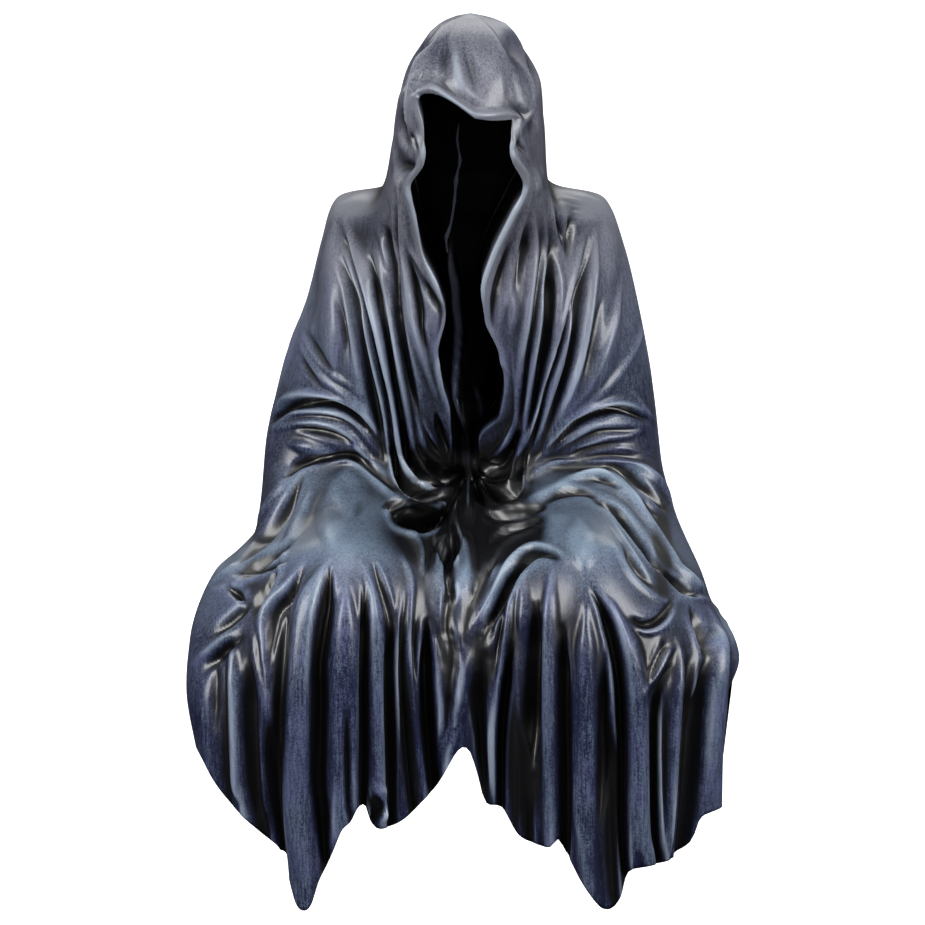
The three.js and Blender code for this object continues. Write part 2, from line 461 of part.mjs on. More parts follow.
// Columns: from the corner on the left, over the front, to the corner on the right, then behind.
const rightCorner = cornerPlace(1);
const leftCorner = cornerPlace(-1);
const frontPlaces = [];
for (let i = SIDE_COLUMNS; i > 0; i--) {
  frontPlaces.push(-LIP_U + ((leftCorner + LIP_U) * i) / SIDE_COLUMNS);
}
for (const share of HOLLOW_STEPS) frontPlaces.push(share * LIP_U);
for (let i = 1; i <= SIDE_COLUMNS; i++) {
  frontPlaces.push(LIP_U + ((rightCorner - LIP_U) * i) / SIDE_COLUMNS);
}
const rearPlaces = [];
for (let i = 1; i <= REAR_COLUMNS; i++) {
  const place = rightCorner + ((1 + leftCorner - rightCorner) * i) / (REAR_COLUMNS + 1);
  rearPlaces.push(place > 0.5 ? place - 1 : place);
}
const places = [...frontPlaces, ...rearPlaces];
const frontCount = frontPlaces.length;
const columnCount = places.length;
const lastFront = frontCount - 1;
const isCorner = (i) => i === 0 || i === lastFront;
const fromCorner = (i) =>
  Math.min(Math.abs(frontPlaces[i] - leftCorner), Math.abs(frontPlaces[i] - rightCorner));

// Rows: the part above the seat goes all the way round, the skirt hangs in front only.
const seatRows = places.map(seatRow);
const hemRows = frontPlaces.map((u, i) => hemRow(u, seatRows[i]));
const upperV = UPPER_ROWS.map((v) => places.map(() => v));
for (let n = 1; n <= KNEE_ROWS; n++) {
  upperV.push(seatRows.map((v0) => WAIST_V + ((v0 - WAIST_V) * n) / KNEE_ROWS));
}
const skirtV = [];
for (let n = 1; n <= SKIRT_ROWS; n++) {
  skirtV.push(hemRows.map((end, i) => seatRows[i] + ((end - seatRows[i]) * n) / SKIRT_ROWS));
}
const plainUpper = upperV.map((row) => row.map((v, i) => openRobeAt(places[i], v)));
const plainSkirt = skirtV.map((row) => row.map((v, i) => openRobeAt(frontPlaces[i], v)));

const minus = (p, q) => [p[0] - q[0], p[1] - q[1], p[2] - q[2]];
function outward(alongRow, downColumn) {
  const n = new THREE.Vector3(...downColumn).cross(new THREE.Vector3(...alongRow)).normalize();
  return n.toArray();
}
const seatLevel = plainUpper.length - 1;
function normalAt(j, i) {
  const above = j > seatLevel + 1
    ? plainSkirt[j - seatLevel - 2][i] : plainUpper[Math.max(j - 1, 0)][i];
  const hangs = i < frontCount;
  const last = seatLevel + SKIRT_ROWS;
  const below = j < seatLevel ? plainUpper[j + 1][i]
    : hangs ? plainSkirt[Math.min(j + 1, last) - seatLevel - 1][i] : plainUpper[seatLevel][i];
  const row = j > seatLevel ? plainSkirt[j - seatLevel - 1] : plainUpper[j];
  const wraps = j <= seatLevel;
  const before = wraps ? row[(i + columnCount - 1) % columnCount] : row[Math.max(i - 1, 0)];
  const after = wraps ? row[(i + 1) % columnCount] : row[Math.min(i + 1, lastFront)];
  return outward(minus(after, before), minus(below, above));
}

// Heights of the folds at half steps between rows and columns, worked out once each.
const lastLevel = seatLevel + SKIRT_ROWS;
const levelV = (j, i) => (j > seatLevel ? skirtV[j - seatLevel - 1][i] : upperV[j][i]);
const midway = (at, x) => (at(Math.floor(x)) + at(Math.ceil(x))) / 2;
const known = new Map();
function foldsAtHalfStep(row, column) {
  const j = clamp(row, 0, 2 * lastLevel) / 2;
  const i = clamp(column, 0, 2 * lastFront) / 2;
  const key = 4 * (j * frontCount * 2 + i);
  if (!known.has(key)) {
    const u = midway((n) => frontPlaces[n], i);
    const v = midway((m) => midway((n) => levelV(m, n), i), j);
    const [a, b] = drawn(openRobeAt(u, v));
    known.set(key, LINES.reduce((sum, fold) => sum + foldHeight(fold, a, b), 0));
  }
  return known.get(key);
}
// Each point takes the mean of the patch of cloth it stands for.
const SHARES = [[-2, 1 / 16], [-1, 4 / 16], [0, 6 / 16], [1, 4 / 16], [2, 1 / 16]];
const FOLD_STRENGTH = 1.45;
function foldsAt(j, i) {
  let height = 0;
  for (const [down, downShare] of SHARES) {
    for (const [across, acrossShare] of SHARES) {
      height += downShare * acrossShare * foldsAtHalfStep(2 * j + down, 2 * i + across);
    }
  }
  return FOLD_STRENGTH * height;
}

// Lay the folds on, keep the seat level flat where it rests.
function folded(j, i, point, u, v) {
  if (j === 0) return point;
  const normal = normalAt(j, i);
  const facing = -normal[1] * SLOPE_COS + normal[2] * SLOPE_SIN;
  const seen = ease(facing, 0.02, 0.3) * (1 - ease(Math.abs(u), 0.31, 0.34));
  const inHollow = v > BRIM_V && v < 0.575 ? 1 - ease(Math.abs(u) / LIP_U, 0.9, 1) : 0;
  const front = i < frontCount ? foldsAt(j, i) * seen * (1 - inHollow) : 0;
  const height = front + backRelief(u, v);
  const rests = i >= frontCount || isCorner(i);
  const lift = rests && j <= seatLevel ? clamp(point[2] / 8, 0, 1) : 1;
  return [
    point[0] + normal[0] * height,
    point[1] + normal[1] * height,
    rests && j === seatLevel ? 0 : point[2] + normal[2] * height * lift,
  ];
}
const upper = plainUpper.map((row, j) => row.map((p, i) => folded(j, i, p, places[i], upperV[j][i])));
const skirt = plainSkirt.map((row, j) =>
  row.map((p, i) => folded(seatLevel + 1 + j, i, p, frontPlaces[i], skirtV[j][i])));

// The outer edges of the skirt lie flush with the front of the shelf.
const CORNER_BLEND = 0.01;
for (const corner of [0, lastFront]) {
  const nearCorner = (i) =>
    Math.exp(-(((frontPlaces[i] - frontPlaces[corner]) / CORNER_BLEND) ** 2));
  const seatShift = WALL_Y - upper[seatLevel][corner][1];
  for (let j = 1; j < seatLevel; j++) {
    upper[j][corner][1] += seatShift * Math.exp(-(((j - seatLevel) / 2) ** 2));
  }
  for (const row of [upper[seatLevel], ...skirt]) {
    const shift = WALL_Y - row[corner][1];
    for (let i = 0; i < frontCount; i++) row[i][1] += shift * nearCorner(i);
  }
}
for (const row of [upper[seatLevel], ...skirt]) {
  for (let i = 0; i < frontCount; i++) {
    row[i][1] = Math.min(row[i][1], WALL_Y - fromCorner(i) * 1000 * FRONT_WALL_GAP);
  }
}
for (const row of skirt) {
  row[lastFront][0] = Math.min(row[lastFront][0], RIGHT_FLANK_X);
}
for (let i = frontCount; i < columnCount; i++) {
  upper[seatLevel][i][1] = Math.max(upper[seatLevel][i][1], WALL_Y + 1);
}

// Cloth edge, let-in underside and the flat back of the legs.
const hem = skirt[SKIRT_ROWS - 1];
const seatLeft = upper[seatLevel][0];
const seatRight = upper[seatLevel][lastFront];
const gaps = [];
for (let i = 1; i < frontCount; i++) gaps.push(Math.abs(hem[i][0] - hem[i - 1][0]));
const meanGap = gaps.reduce((sum, gap) => sum + gap, 0) / gaps.length;
const run = [0];
for (const gap of gaps) run.push(run[run.length - 1] + gap + 0.4 * meanGap);
const spaced = (left, right) => run.map((r) => left + ((right - left) * r) / run[run.length - 1]);
const wallTop = spaced(seatLeft[0], seatRight[0]);
const wallX = spaced(hem[0][0], hem[lastFront][0]);
const wallFoot = [[hem[0][0], hem[0][2]], ...BACK_HEM, [hem[lastFront][0], hem[lastFront][2]]];
const blend = (p, q, share) => p.map((value, k) => value + (q[k] - value) * share);
const closing = [[], [], [], [], []];
for (let i = 0; i < frontCount; i++) {
  const full = ease(fromCorner(i), 0, 0.03);
  const normal = normalAt(seatLevel + SKIRT_ROWS, i);
  const flat = Math.hypot(normal[0], normal[1]) || 1;
  const inward = (by, up) => [
    hem[i][0] - (normal[0] / flat) * by * full,
    hem[i][1] - (normal[1] / flat) * by * full,
    hem[i][2] + up * full,
  ];
  const foot = lookUp(wallFoot, wallX[i]);
  closing[0].push(inward(EDGE_THICK, 0.6));
  closing[1].push(inward(EDGE_THICK + 1, UNDER_RISE));
  closing[2].push(blend(hem[i], [wallX[i], WALL_Y - 4, foot + UNDER_RISE], full));
  closing[3].push([wallX[i], WALL_Y, foot]);
  closing[4].push([wallTop[i], WALL_Y, 0]);
}

// Number the points and join them up.
const points = [];
const add = (row, from, to) => {
  const ids = [];
  for (let i = from; i < to; i++) {
    ids.push(points.length);
    points.push(row[i]);
  }
  return ids;
};
const top = add([crown.slice(1)], 0, 1)[0];
const rings = [places.map(() => top)];
for (let j = 1; j <= seatLevel; j++) rings.push(add(upper[j], 0, columnCount));
const sheets = [rings[seatLevel].slice(0, frontCount)];
for (const row of skirt) sheets.push(add(row, 0, frontCount));
const hemIds = sheets[SKIRT_ROWS];
const closed = closing.map((row, k) => {
  const ends = k < 4 ? hemIds : sheets[0];
  return [ends[0], ...add(row, 1, lastFront), ends[lastFront]];
});
const seatMiddle = add([[0, 0, 0]], 0, 1)[0];

const triangles = [];
const triangle = (a, b, c) => {
  if (a !== b && b !== c && c !== a) triangles.push(a, b, c);
};
const quad = (a, b, c, d) => {
  triangle(a, b, c);
  triangle(a, c, d);
};
const strip = (upperIds, lowerIds, from, to) => {
  for (let i = from; i < to; i++) quad(upperIds[i], lowerIds[i], lowerIds[i + 1], upperIds[i + 1]);
};
for (let j = 0; j < seatLevel; j++) {
  strip([...rings[j], rings[j][0]], [...rings[j + 1], rings[j + 1][0]], 0, columnCount);
}
for (let j = 0; j < SKIRT_ROWS; j++) strip(sheets[j], sheets[j + 1], 0, lastFront);
strip(hemIds, closed[0], 0, lastFront);
for (let k = 0; k < 3; k++) strip(closed[k], closed[k + 1], 0, lastFront);
strip(closed[3], closed[4], 1, lastFront - 1);
for (const [corner, next] of [[0, 1], [lastFront, lastFront - 1]]) {
  const chain = [...sheets.map((ids) => ids[corner]), closed[3][next]];
  const apex = closed[4][next];
  for (let k = 0; k + 1 < chain.length; k++) {
    if (corner === 0) triangle(apex, chain[k + 1], chain[k]);
    else triangle(apex, chain[k], chain[k + 1]);
  }
}
const rim = [
  ...rings[seatLevel].slice(lastFront), rings[seatLevel][0], ...closed[4].slice(1, lastFront),
];
rim.forEach((id, k) => triangle(seatMiddle, rim[(k + 1) % rim.length], id));

const geometry = new THREE.BufferGeometry();
geometry.setAttribute("position", new THREE.Float32BufferAttribute(points.flat(), 3));
geometry.setIndex(triangles);
geometry.computeVertexNormals();

const paintedResin = new THREE.MeshStandardMaterial({
  color: 0x23242c, roughness: 0.5, metalness: 0,
});
const robe = new THREE.Mesh(geometry, paintedResin);
robe.name = "seated_reaper";

const figure = new THREE.Group();
figure.name = "seated_grim_reaper";
figure.add(robe);
export default figure;
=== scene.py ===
# %% [markdown]
# # A seated hooded robe, cast in resin
# The real thing is a hollow casting that sits on the edge of a ledge with its legs hanging in front.
# All that shows is cloth: a hood round an empty hollow, a cloak over the arms, a lap and a ragged skirt.
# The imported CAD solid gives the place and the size. The lesson works the same surface out again with
# many more folds, paints it by its own high and low places, and sets it in plain studio light.

# %% Load the frame
import math

import bpy
import numpy as np
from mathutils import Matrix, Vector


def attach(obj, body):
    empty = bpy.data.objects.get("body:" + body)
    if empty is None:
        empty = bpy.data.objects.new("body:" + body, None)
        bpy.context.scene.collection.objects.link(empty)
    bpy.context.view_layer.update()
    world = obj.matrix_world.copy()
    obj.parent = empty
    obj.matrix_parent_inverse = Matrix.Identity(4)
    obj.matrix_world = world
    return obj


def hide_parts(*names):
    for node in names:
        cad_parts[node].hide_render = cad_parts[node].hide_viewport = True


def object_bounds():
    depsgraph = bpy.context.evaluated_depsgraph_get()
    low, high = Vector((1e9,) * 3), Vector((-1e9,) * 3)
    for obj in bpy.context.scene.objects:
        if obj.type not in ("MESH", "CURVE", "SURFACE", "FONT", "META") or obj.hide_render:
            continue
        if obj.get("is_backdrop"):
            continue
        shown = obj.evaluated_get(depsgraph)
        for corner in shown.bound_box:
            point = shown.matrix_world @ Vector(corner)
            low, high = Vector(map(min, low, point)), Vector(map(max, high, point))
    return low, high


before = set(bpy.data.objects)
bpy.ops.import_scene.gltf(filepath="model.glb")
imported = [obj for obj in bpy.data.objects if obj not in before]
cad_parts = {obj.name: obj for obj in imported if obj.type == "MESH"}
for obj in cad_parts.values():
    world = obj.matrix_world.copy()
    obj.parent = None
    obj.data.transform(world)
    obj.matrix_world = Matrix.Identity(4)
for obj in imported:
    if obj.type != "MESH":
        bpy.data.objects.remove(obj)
cad_box = [list(corner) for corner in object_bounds()]
print("CAD box in metres:", [[round(c, 4) for c in corner] for corner in cad_box])

# %% [markdown]
# ## Units and the drawing plane
# The cloth is worked out in millimetres and becomes metres when its mesh is made. Its folds are placed
# as one sees them from the front, a little from above, so they are drawn on a plane that is tilted back
# by the same angle. A point's place on it is a, to the right, and b, up. It could be drawn straight
# on x and z, but a slanted plane reads the top of the lap and the front of the skirt equally well.

# %% The drawing plane
METRES = 0.001
LOOK_DOWN = math.radians(22)
UP_SHARE = math.cos(LOOK_DOWN)
DEPTH_SHARE = math.sin(LOOK_DOWN)


def on_drawing(points):
    """a is x, and b is z times the cosine plus y times the sine of the downward look."""
    return points[..., 0], points[..., 2] * UP_SHARE + points[..., 1] * DEPTH_SHARE


def ease(x, start, end):
    """0 before start, 1 after end and 3t^2 - 2t^3 between them."""
    t = np.clip((x - start) / (end - start), 0, 1)
    return t * t * (3 - 2 * t)


# %% [markdown]
# ## The plain robe
# Under its folds the robe is one closed bag. Lines run down it from the crown to the hem: down the
# front opening, over each lip, knee, arm and side, and down the back. Each line is a short list of
# (v, x, y, z), where v says how far down it lies. A sculptor would bend wires in this way before
# laying clay on them. A line keeps to its points without swinging past them, and a second set of
# curves runs round from line to line, so any u, round, and v, down, has its point.

# %% Lines down the robe
CROWN = (2, -8, 285)
FRONT_LINE = [
    (0, *CROWN), (0.03, 2, -26, 283.5), (0.06, 2, -40, 277.5), (0.09, 3, -51, 267), (0.12, 4, -58, 253.3),
    (0.16, 1, -57, 243.5), (0.2, 1, -56, 231), (0.235, 0, -54, 217.5), (0.28, -1, -51, 202),
    (0.33, -5, -47, 183.4), (0.38, -4, -46, 166.5), (0.42, -2, -45, 152), (0.46, 0, -41, 133.7),
    (0.5, 3, -36, 117), (0.535, 3, -28, 99), (0.56, 0, -19, 84), (0.59, 0, -8, 61), (0.62, 0, -32, 55),
    (0.68, 0, -80, 43), (0.75, 0, -95, 22), (0.82, 0, -99, -5), (0.9, 0, -98, -45), (1, 0, -96, -105),
]
RIGHT_LIP = [
    (0, *CROWN), (0.03, 9, -24, 283), (0.06, 15, -36, 276), (0.09, 19, -45, 264), (0.12, 20.5, -50, 250),
    (0.16, 20, -52, 242.7), (0.2, 20.5, -53, 232), (0.235, 25.9, -49, 217.5), (0.28, 20, -48, 203.6),
    (0.33, 11.5, -46, 183.5), (0.38, 7.5, -46, 167.6), (0.42, 9, -43, 151.5), (0.46, 15, -38, 133.7),
    (0.5, 17.4, -32, 116.8), (0.535, 15.2, -24, 99.1), (0.56, 6.2, -16, 83.9), (0.59, 6.2, -6, 61.5),
    (0.62, 12, -35, 57), (0.68, 16, -82, 46), (0.75, 18, -97, 25), (0.82, 19, -101, -5),
    (0.9, 19, -100, -45), (1, 19, -98, -105),
]
LEFT_LIP = [
    (0, *CROWN), (0.03, -6, -24, 283), (0.06, -12, -36, 277.5), (0.09, -18, -45, 270),
    (0.12, -21.9, -50, 261.1), (0.16, -18.7, -53, 245), (0.2, -18.7, -53, 231),
    (0.235, -25.4, -49, 217.5), (0.28, -22.7, -46, 201.8), (0.33, -19.6, -42, 183.4),
    (0.38, -12.5, -42, 166), (0.42, -9.4, -42, 153), (0.46, -12.9, -38, 133.7), (0.5, -11.2, -33, 117.2),
    (0.535, -7.6, -26, 99.9), (0.56, -7.1, -17, 84.3), (0.59, -6.2, -6, 63), (0.62, -12, -35, 57),
    (0.68, -16, -82, 46), (0.75, -18, -97, 25), (0.82, -19, -101, -5), (0.9, -19, -100, -45),
    (1, -19, -98, -105),
]
KNEE_LINE = [
    (0, *CROWN), (0.03, 11, -18, 282.5), (0.06, 17, -29, 276), (0.12, 30, -32, 252), (0.2, 32, -32, 228),
    (0.26, 37, -28, 203), (0.31, 46, -14, 183), (0.36, 48, -23.7, 163.3), (0.42, 45, -32, 140.3),
    (0.46, 42, -32.9, 124.3), (0.5, 38, -30.8, 108.6), (0.535, 34, -26.7, 91.8),
    (0.56, 31.5, -22.8, 79.5), (0.59, 36, -33, 70.5), (0.62, 44, -51.5, 66.8), (0.65, 52, -69.7, 65),
    (0.68, 57, -86, 62), (0.75, 58, -108, 36), (0.82, 59, -113, 5), (0.9, 60, -113, -40),
    (1, 60, -111, -105),
]
RIGHT_ARM = [
    (0, *CROWN), (0.03, 15.6, -12, 280.5), (0.06, 21.3, -17.5, 272.2), (0.12, 32.8, -18, 250),
    (0.2, 34.6, -16.6, 223.8), (0.26, 37.8, -10, 200), (0.31, 57.8, 0.4, 183.4),
    (0.36, 63.7, -4.4, 163.5), (0.42, 69.3, -8.6, 137.8), (0.5, 75.7, -11.4, 96.9),
    (0.56, 77.2, -15.9, 73.6), (0.59, 77.9, -26.3, 65.7), (0.62, 79.2, -40.3, 57.3),
    (0.68, 87.5, -71.8, 43.6), (0.75, 96.1, -94.9, 17.8), (0.82, 94.2, -103.2, -8.8),
    (0.9, 92.5, -105, -47.5), (1, 91.6, -103.4, -113),
]
LEFT_ARM = [
    (0, *CROWN), (0.03, -11.6, -12, 280), (0.06, -18.2, -17.5, 271.8), (0.12, -29.3, -18, 249.5),
    (0.2, -33.2, -16.6, 223.8), (0.26, -38.1, -10, 200), (0.31, -55.7, 0.4, 183.4),
    (0.36, -60.3, -4.4, 163.5), (0.42, -65.7, -8.6, 137.8), (0.5, -76, -11.4, 96.9),
    (0.56, -79.8, -15.9, 73.6), (0.59, -79.3, -26.3, 65.7), (0.62, -78.6, -40.3, 57.3),
    (0.68, -92.6, -71.8, 43.6), (0.75, -98, -94.9, 17.8), (0.82, -98.7, -103.2, -8.8),
    (0.9, -95.9, -105, -47.5), (1, -90.2, -103.4, -113),
]
RIGHT_SIDE = [
    (0, *CROWN), (0.03, 17.8, -5, 279), (0.06, 24.1, -4, 269), (0.12, 33.5, -3, 249.4),
    (0.2, 35.2, 0, 221.7), (0.26, 37, 8, 199.2), (0.285, 55, 12, 191.9), (0.31, 63.8, 14, 184.8),
    (0.36, 71.2, 14, 165.5), (0.42, 77.5, 12, 139.9), (0.5, 84.3, 8, 98.3), (0.56, 86.5, 2, 76.6),
    (0.59, 88.5, -8, 64), (0.62, 93.4, -18, 51), (0.68, 106.5, -42, 29.5), (0.715, 111, -52, 18.5),
    (0.735, 115, -58, 11.5), (0.75, 121, -62, 5), (0.775, 123, -66, -2), (0.82, 118.5, -71, -14.5),
    (0.9, 115, -76, -41), (1, 114, -76, -94),
]
LEFT_SIDE = [
    (0, *CROWN), (0.03, -12.5, -5, 278.5), (0.06, -19.8, -4, 269), (0.12, -28.5, -3, 249.4),
    (0.2, -33, 0, 221.7), (0.26, -37.5, 8, 197.5), (0.285, -51, 12, 191.5), (0.31, -60, 14, 184.3),
    (0.36, -65, 14, 165.5), (0.42, -71.4, 12, 139.9), (0.5, -84.3, 8, 98.3), (0.56, -90.5, 2, 76.6),
    (0.62, -93.2, -18, 51), (0.645, -96, -27, 41.5), (0.66, -103.5, -34, 36.8), (0.68, -113.3, -42, 30.8),
    (0.75, -124.3, -62, 6.3), (0.82, -126, -72, -13.7), (0.9, -121.8, -76, -41), (1, -114, -76, -94),
]
HIP_LINE = [
    (0, *CROWN), (0.03, 12, 3, 278.5), (0.06, 20.5, 8, 269), (0.12, 30.5, 12, 251), (0.2, 35, 16, 224),
    (0.26, 37, 22, 194.5), (0.31, 61.5, 28, 185), (0.36, 68, 30, 166), (0.42, 73.5, 30, 142),
    (0.5, 82, 30, 106), (0.62, 87, 18, 60), (0.66, 88, 9, 37), (0.7, 94, 4, 26), (0.75, 102, 0, 16),
    (0.88, 106, -8, 8), (1, 108, -14, -6),
]
BACK_QUARTER = [
    (0, *CROWN), (0.03, 8, 8, 277.3), (0.06, 15, 16, 269.5), (0.12, 24, 24, 252.5), (0.2, 28, 30, 226),
    (0.26, 30, 36, 197), (0.285, 38, 37, 186.5), (0.31, 48, 38, 182.5), (0.36, 54, 44, 168),
    (0.42, 58, 48, 144), (0.5, 64, 50, 114), (0.62, 72, 50, 76), (0.75, 80, 48, 42), (0.88, 84, 50, 16),
    (1, 87, 52, -6),
]
BACK_LINE = [
    (0, *CROWN), (0.03, 2, 11, 275.8), (0.06, 2, 21, 270), (0.12, 2, 32, 254), (0.2, 1, 39, 229),
    (0.26, 0, 43, 205), (0.31, 0, 50, 190), (0.36, 0, 57, 172), (0.42, 0, 62, 148), (0.5, 0, 66, 118),
    (0.62, 0, 67, 80), (0.75, 0, 66, 46), (0.88, 0, 69, 18), (1, 0, 73, -6),
]

HOOD_LEAN = 2
LEAN_ENDS = (0.42, 0.5)


def other_side(line, lean=0):
    """The same line on the left, mirrored about x = lean down to the chest, where the lean eases off to
    nil. The crown stays where it is."""
    table = np.array(line, float)
    centre = lean * (1 - ease(table[:, 0], *LEAN_ENDS))
    table[1:, 1] = (2 * centre - table[:, 1])[1:]
    return table


GUIDES = [
    (0.0, FRONT_LINE), (0.055, RIGHT_LIP), (0.145, KNEE_LINE), (0.222, RIGHT_ARM), (0.285, RIGHT_SIDE),
    (0.345, HIP_LINE), (0.42, BACK_QUARTER), (0.5, BACK_LINE), (0.58, other_side(BACK_QUARTER, HOOD_LEAN)),
    (0.655, other_side(HIP_LINE, HOOD_LEAN)), (0.715, LEFT_SIDE), (0.778, LEFT_ARM),
    (0.855, other_side(KNEE_LINE)), (0.945, LEFT_LIP),
]
print(len(GUIDES), "lines down the robe")


# %% Down a line, and round the robe
def cubic(t, width, start, end, start_slope, end_slope):
    """Cubic from p0 to p1 with slopes m0 and m1 over the width w, with t from 0 to 1:
    (2t^3-3t^2+1)p0 + (t^3-2t^2+t)w m0 + (3t^2-2t^3)p1 + (t^3-t^2)w m1."""
    from_start = (2 * t**3 - 3 * t**2 + 1) * start + (t**3 - 2 * t**2 + t) * width * start_slope
    from_end = (3 * t**2 - 2 * t**3) * end + (t**3 - t**2) * width * end_slope
    return from_start + from_end


def down_line(line, v):
    """A cubic through the line's points. A slope is the weighted harmonic mean of the two chords that
    meet there, and nil where they point different ways."""
    table = np.array(line, float)
    at, places = table[:, 0], table[:, 1:]
    step = np.diff(at)
    chord = np.diff(places, axis=0) / step[:, None]
    turns_back = chord[:-1] * chord[1:] <= 0
    above = np.where(turns_back, 1.0, chord[:-1])
    below = np.where(turns_back, 1.0, chord[1:])
    above_weight = (2 * step[1:] + step[:-1])[:, None]
    below_weight = (step[1:] + 2 * step[:-1])[:, None]
    mean = (above_weight + below_weight) / (above_weight / above + below_weight / below)
    slope = np.vstack([chord[:1], np.where(turns_back, 0.0, mean), chord[-1:]])
    i = np.clip(np.searchsorted(at, v, side="right") - 1, 0, len(at) - 2)
    width = step[i][..., None]
    t = (v - at[i])[..., None] / width
    return cubic(t, width, places[i], places[i + 1], slope[i], slope[i + 1])


def plain_robe(u, v):
    """Each guide line is read at v, and a cubic runs round through them, with its slope at a line
    the mean of the chords on both sides, weighted by the other one's width."""
    place = np.array([at for at, _ in GUIDES])
    place = np.concatenate([place[-1:] - 1, place, [1.0, 1.0 + place[1]]])
    lines = np.stack([down_line(line, v) for _, line in GUIDES])
    lines = np.concatenate([lines[-1:], lines, lines[:2]])
    turn = u % 1.0
    i = np.clip(np.searchsorted(place, turn, side="right") - 1, 1, len(GUIDES))
    before, here, after, beyond = (
        np.take_along_axis(lines, (i + k)[None, ..., None], 0)[0] for k in (-1, 0, 1, 2)
    )
    gap = np.diff(place)
    last, width, following = (gap[i + k][..., None] for k in (-1, 0, 1))
    chord_before = (here - before) / last
    chord = (after - here) / width
    chord_after = (beyond - after) / following
    slope = (chord_before * width + chord * last) / (last + width)
    end_slope = (chord * following + chord_after * width) / (width + following)
    t = (turn - place[i])[..., None] / width
    return cubic(t, width, here, after, slope, end_slope)


front_foot = plain_robe(np.array([0.0]), np.array([1.0]))[0]
print("the front line ends at", front_foot.round(1).tolist(), "mm")


# %% [markdown]
# ## The hollow behind the hood's opening
# The hood is empty, and the opening runs down the chest to where the cloak closes. It could be cut
# with a boolean, but the lips are soft rolled cloth, so the same surface is pushed back instead: it
# turns in at each lip and goes deep between them. The hollow is a little wider behind than its mouth.
# Its depth and its lift are lists of (v, millimetres).

# %% Push the hollow in
LIP_TURN = 0.055
BRIM_V = 0.12
CLOSED_V = 0.578
LIP_WIDTH = 0.22
HOLLOW_DEPTH = np.array([
    (BRIM_V, 0), (0.127, 26), (0.137, 44), (0.16, 50), (0.20, 50), (0.26, 46), (0.31, 40), (0.38, 36),
    (0.46, 32), (0.50, 28), (0.535, 20), (0.56, 9), (CLOSED_V, 0),
])
HOLLOW_LIFT = np.array([(BRIM_V, 0), (0.13, 7), (0.145, 11), (0.17, 8), (0.22, 0)])
HOLLOW_FLARE = 0.22
FLARE_DEPTH = 40
BRIM_LIFT = 4.5
BRIM_REACH = 0.03


def lip_place(u):
    """0 in the middle of the opening and 1 at its lips; u runs from -0.5 to 0.5."""
    return np.abs(u) / LIP_TURN


def robe(u, v):
    """The plain robe, with its left brim lifted by half a sine wave and the hollow pushed back by
    the depth at v, full in the middle and nil at the lips."""
    points = plain_robe(u, v)
    place = lip_place(u)
    behind = place < 1
    wave = np.sin(np.pi * np.clip(place, 0, 1)) * np.exp(-(((v - BRIM_V) / BRIM_REACH) ** 2))
    points[..., 2] += np.where(behind & (u < 0), BRIM_LIFT * wave, 0)
    share = np.where(behind, 1 - ease(place, 1 - LIP_WIDTH, 1), 0)
    depth = share * np.interp(v, HOLLOW_DEPTH[:, 0], HOLLOW_DEPTH[:, 1], 0, 0)
    lips = plain_robe(np.full_like(u, LIP_TURN), v) + plain_robe(np.full_like(u, -LIP_TURN), v)
    middle = lips[..., 0] / 2
    flare = 1 + HOLLOW_FLARE * np.clip(depth / FLARE_DEPTH, 0, 1)
    points[..., 0] = np.where(behind, middle + (points[..., 0] - middle) * flare, points[..., 0])
    points[..., 1] += depth
    points[..., 2] += share * np.interp(v, HOLLOW_LIFT[:, 0], HOLLOW_LIFT[:, 1], 0, 0)
    return points


# %% [markdown]
# ## The seat and the hem
# The figure sits with z = 0 on the ledge, and its legs hang in front of the ledge's edge. The back of
# the skirt is flat there, and behind it the robe ends at the seat. The hem is torn into points, drawn
# as (a, b) on the drawing plane. A line meets the seat or the hem at some v, found by halving.

# %% Where the robe ends
LEDGE_Y = -58.0
HEM_LINE = [
    (-140, -61.2), (-124, -65.2), (-119.5, -70.2), (-112.4, -82.9), (-101.7, -95.8), (-91, -105.6),
    (-84, -111.4), (-80.5, -122.2), (-76.7, -136.2), (-73, -139.7), (-69.6, -137.2), (-66, -126.2),
    (-62.4, -119), (-58.9, -111), (-55.3, -102.5), (-51.7, -99.4), (-48.2, -92.7), (-44.6, -92.2),
    (-41, -102), (-33.9, -101.6), (-26.8, -97.6), (-19.6, -90.4), (-12.5, -82.4), (-5.4, -69.9),
    (-1.8, -65.9), (1.8, -68.1), (5.4, -79.3), (8.9, -91.3), (16, -93.2), (23.2, -105.2), (30.3, -109.2),
    (37.5, -111), (41, -107.2), (44.6, -112.7), (51.7, -126.6), (58.9, -136.8), (62.4, -139.2),
    (66, -138.6), (69.6, -133.7), (73, -122.2), (80, -119.9), (91, -117.2), (98, -112.7), (102, -107.8),
    (105.3, -98.5), (109, -96.2), (116, -93.2), (118, -89.2), (124, -77.2), (140, -67.2),
]
HALVINGS = 44
SEAT_BETWEEN = (0.6, 1.0)


def halve(is_short, low, high):
    """Halves the stretch from low to high again and again, and keeps the half where is_short changes."""
    for _ in range(HALVINGS):
        middle = (low + high) / 2
        short = is_short(middle)
        low = np.where(short, middle, low)
        high = np.where(short, high, middle)
    return (low + high) / 2


def seat_v(u):
    """v where the plain robe comes down to z = 0."""
    low, high = (np.full_like(u, v) for v in SEAT_BETWEEN)
    return halve(lambda v: plain_robe(u, v)[..., 2] > 0, low, high)


print("the front line passes z = 0 at v =", seat_v(np.array([0.0])).round(3)[0])

# %% A smooth line through drawn points
LINE_STEP = 2.5


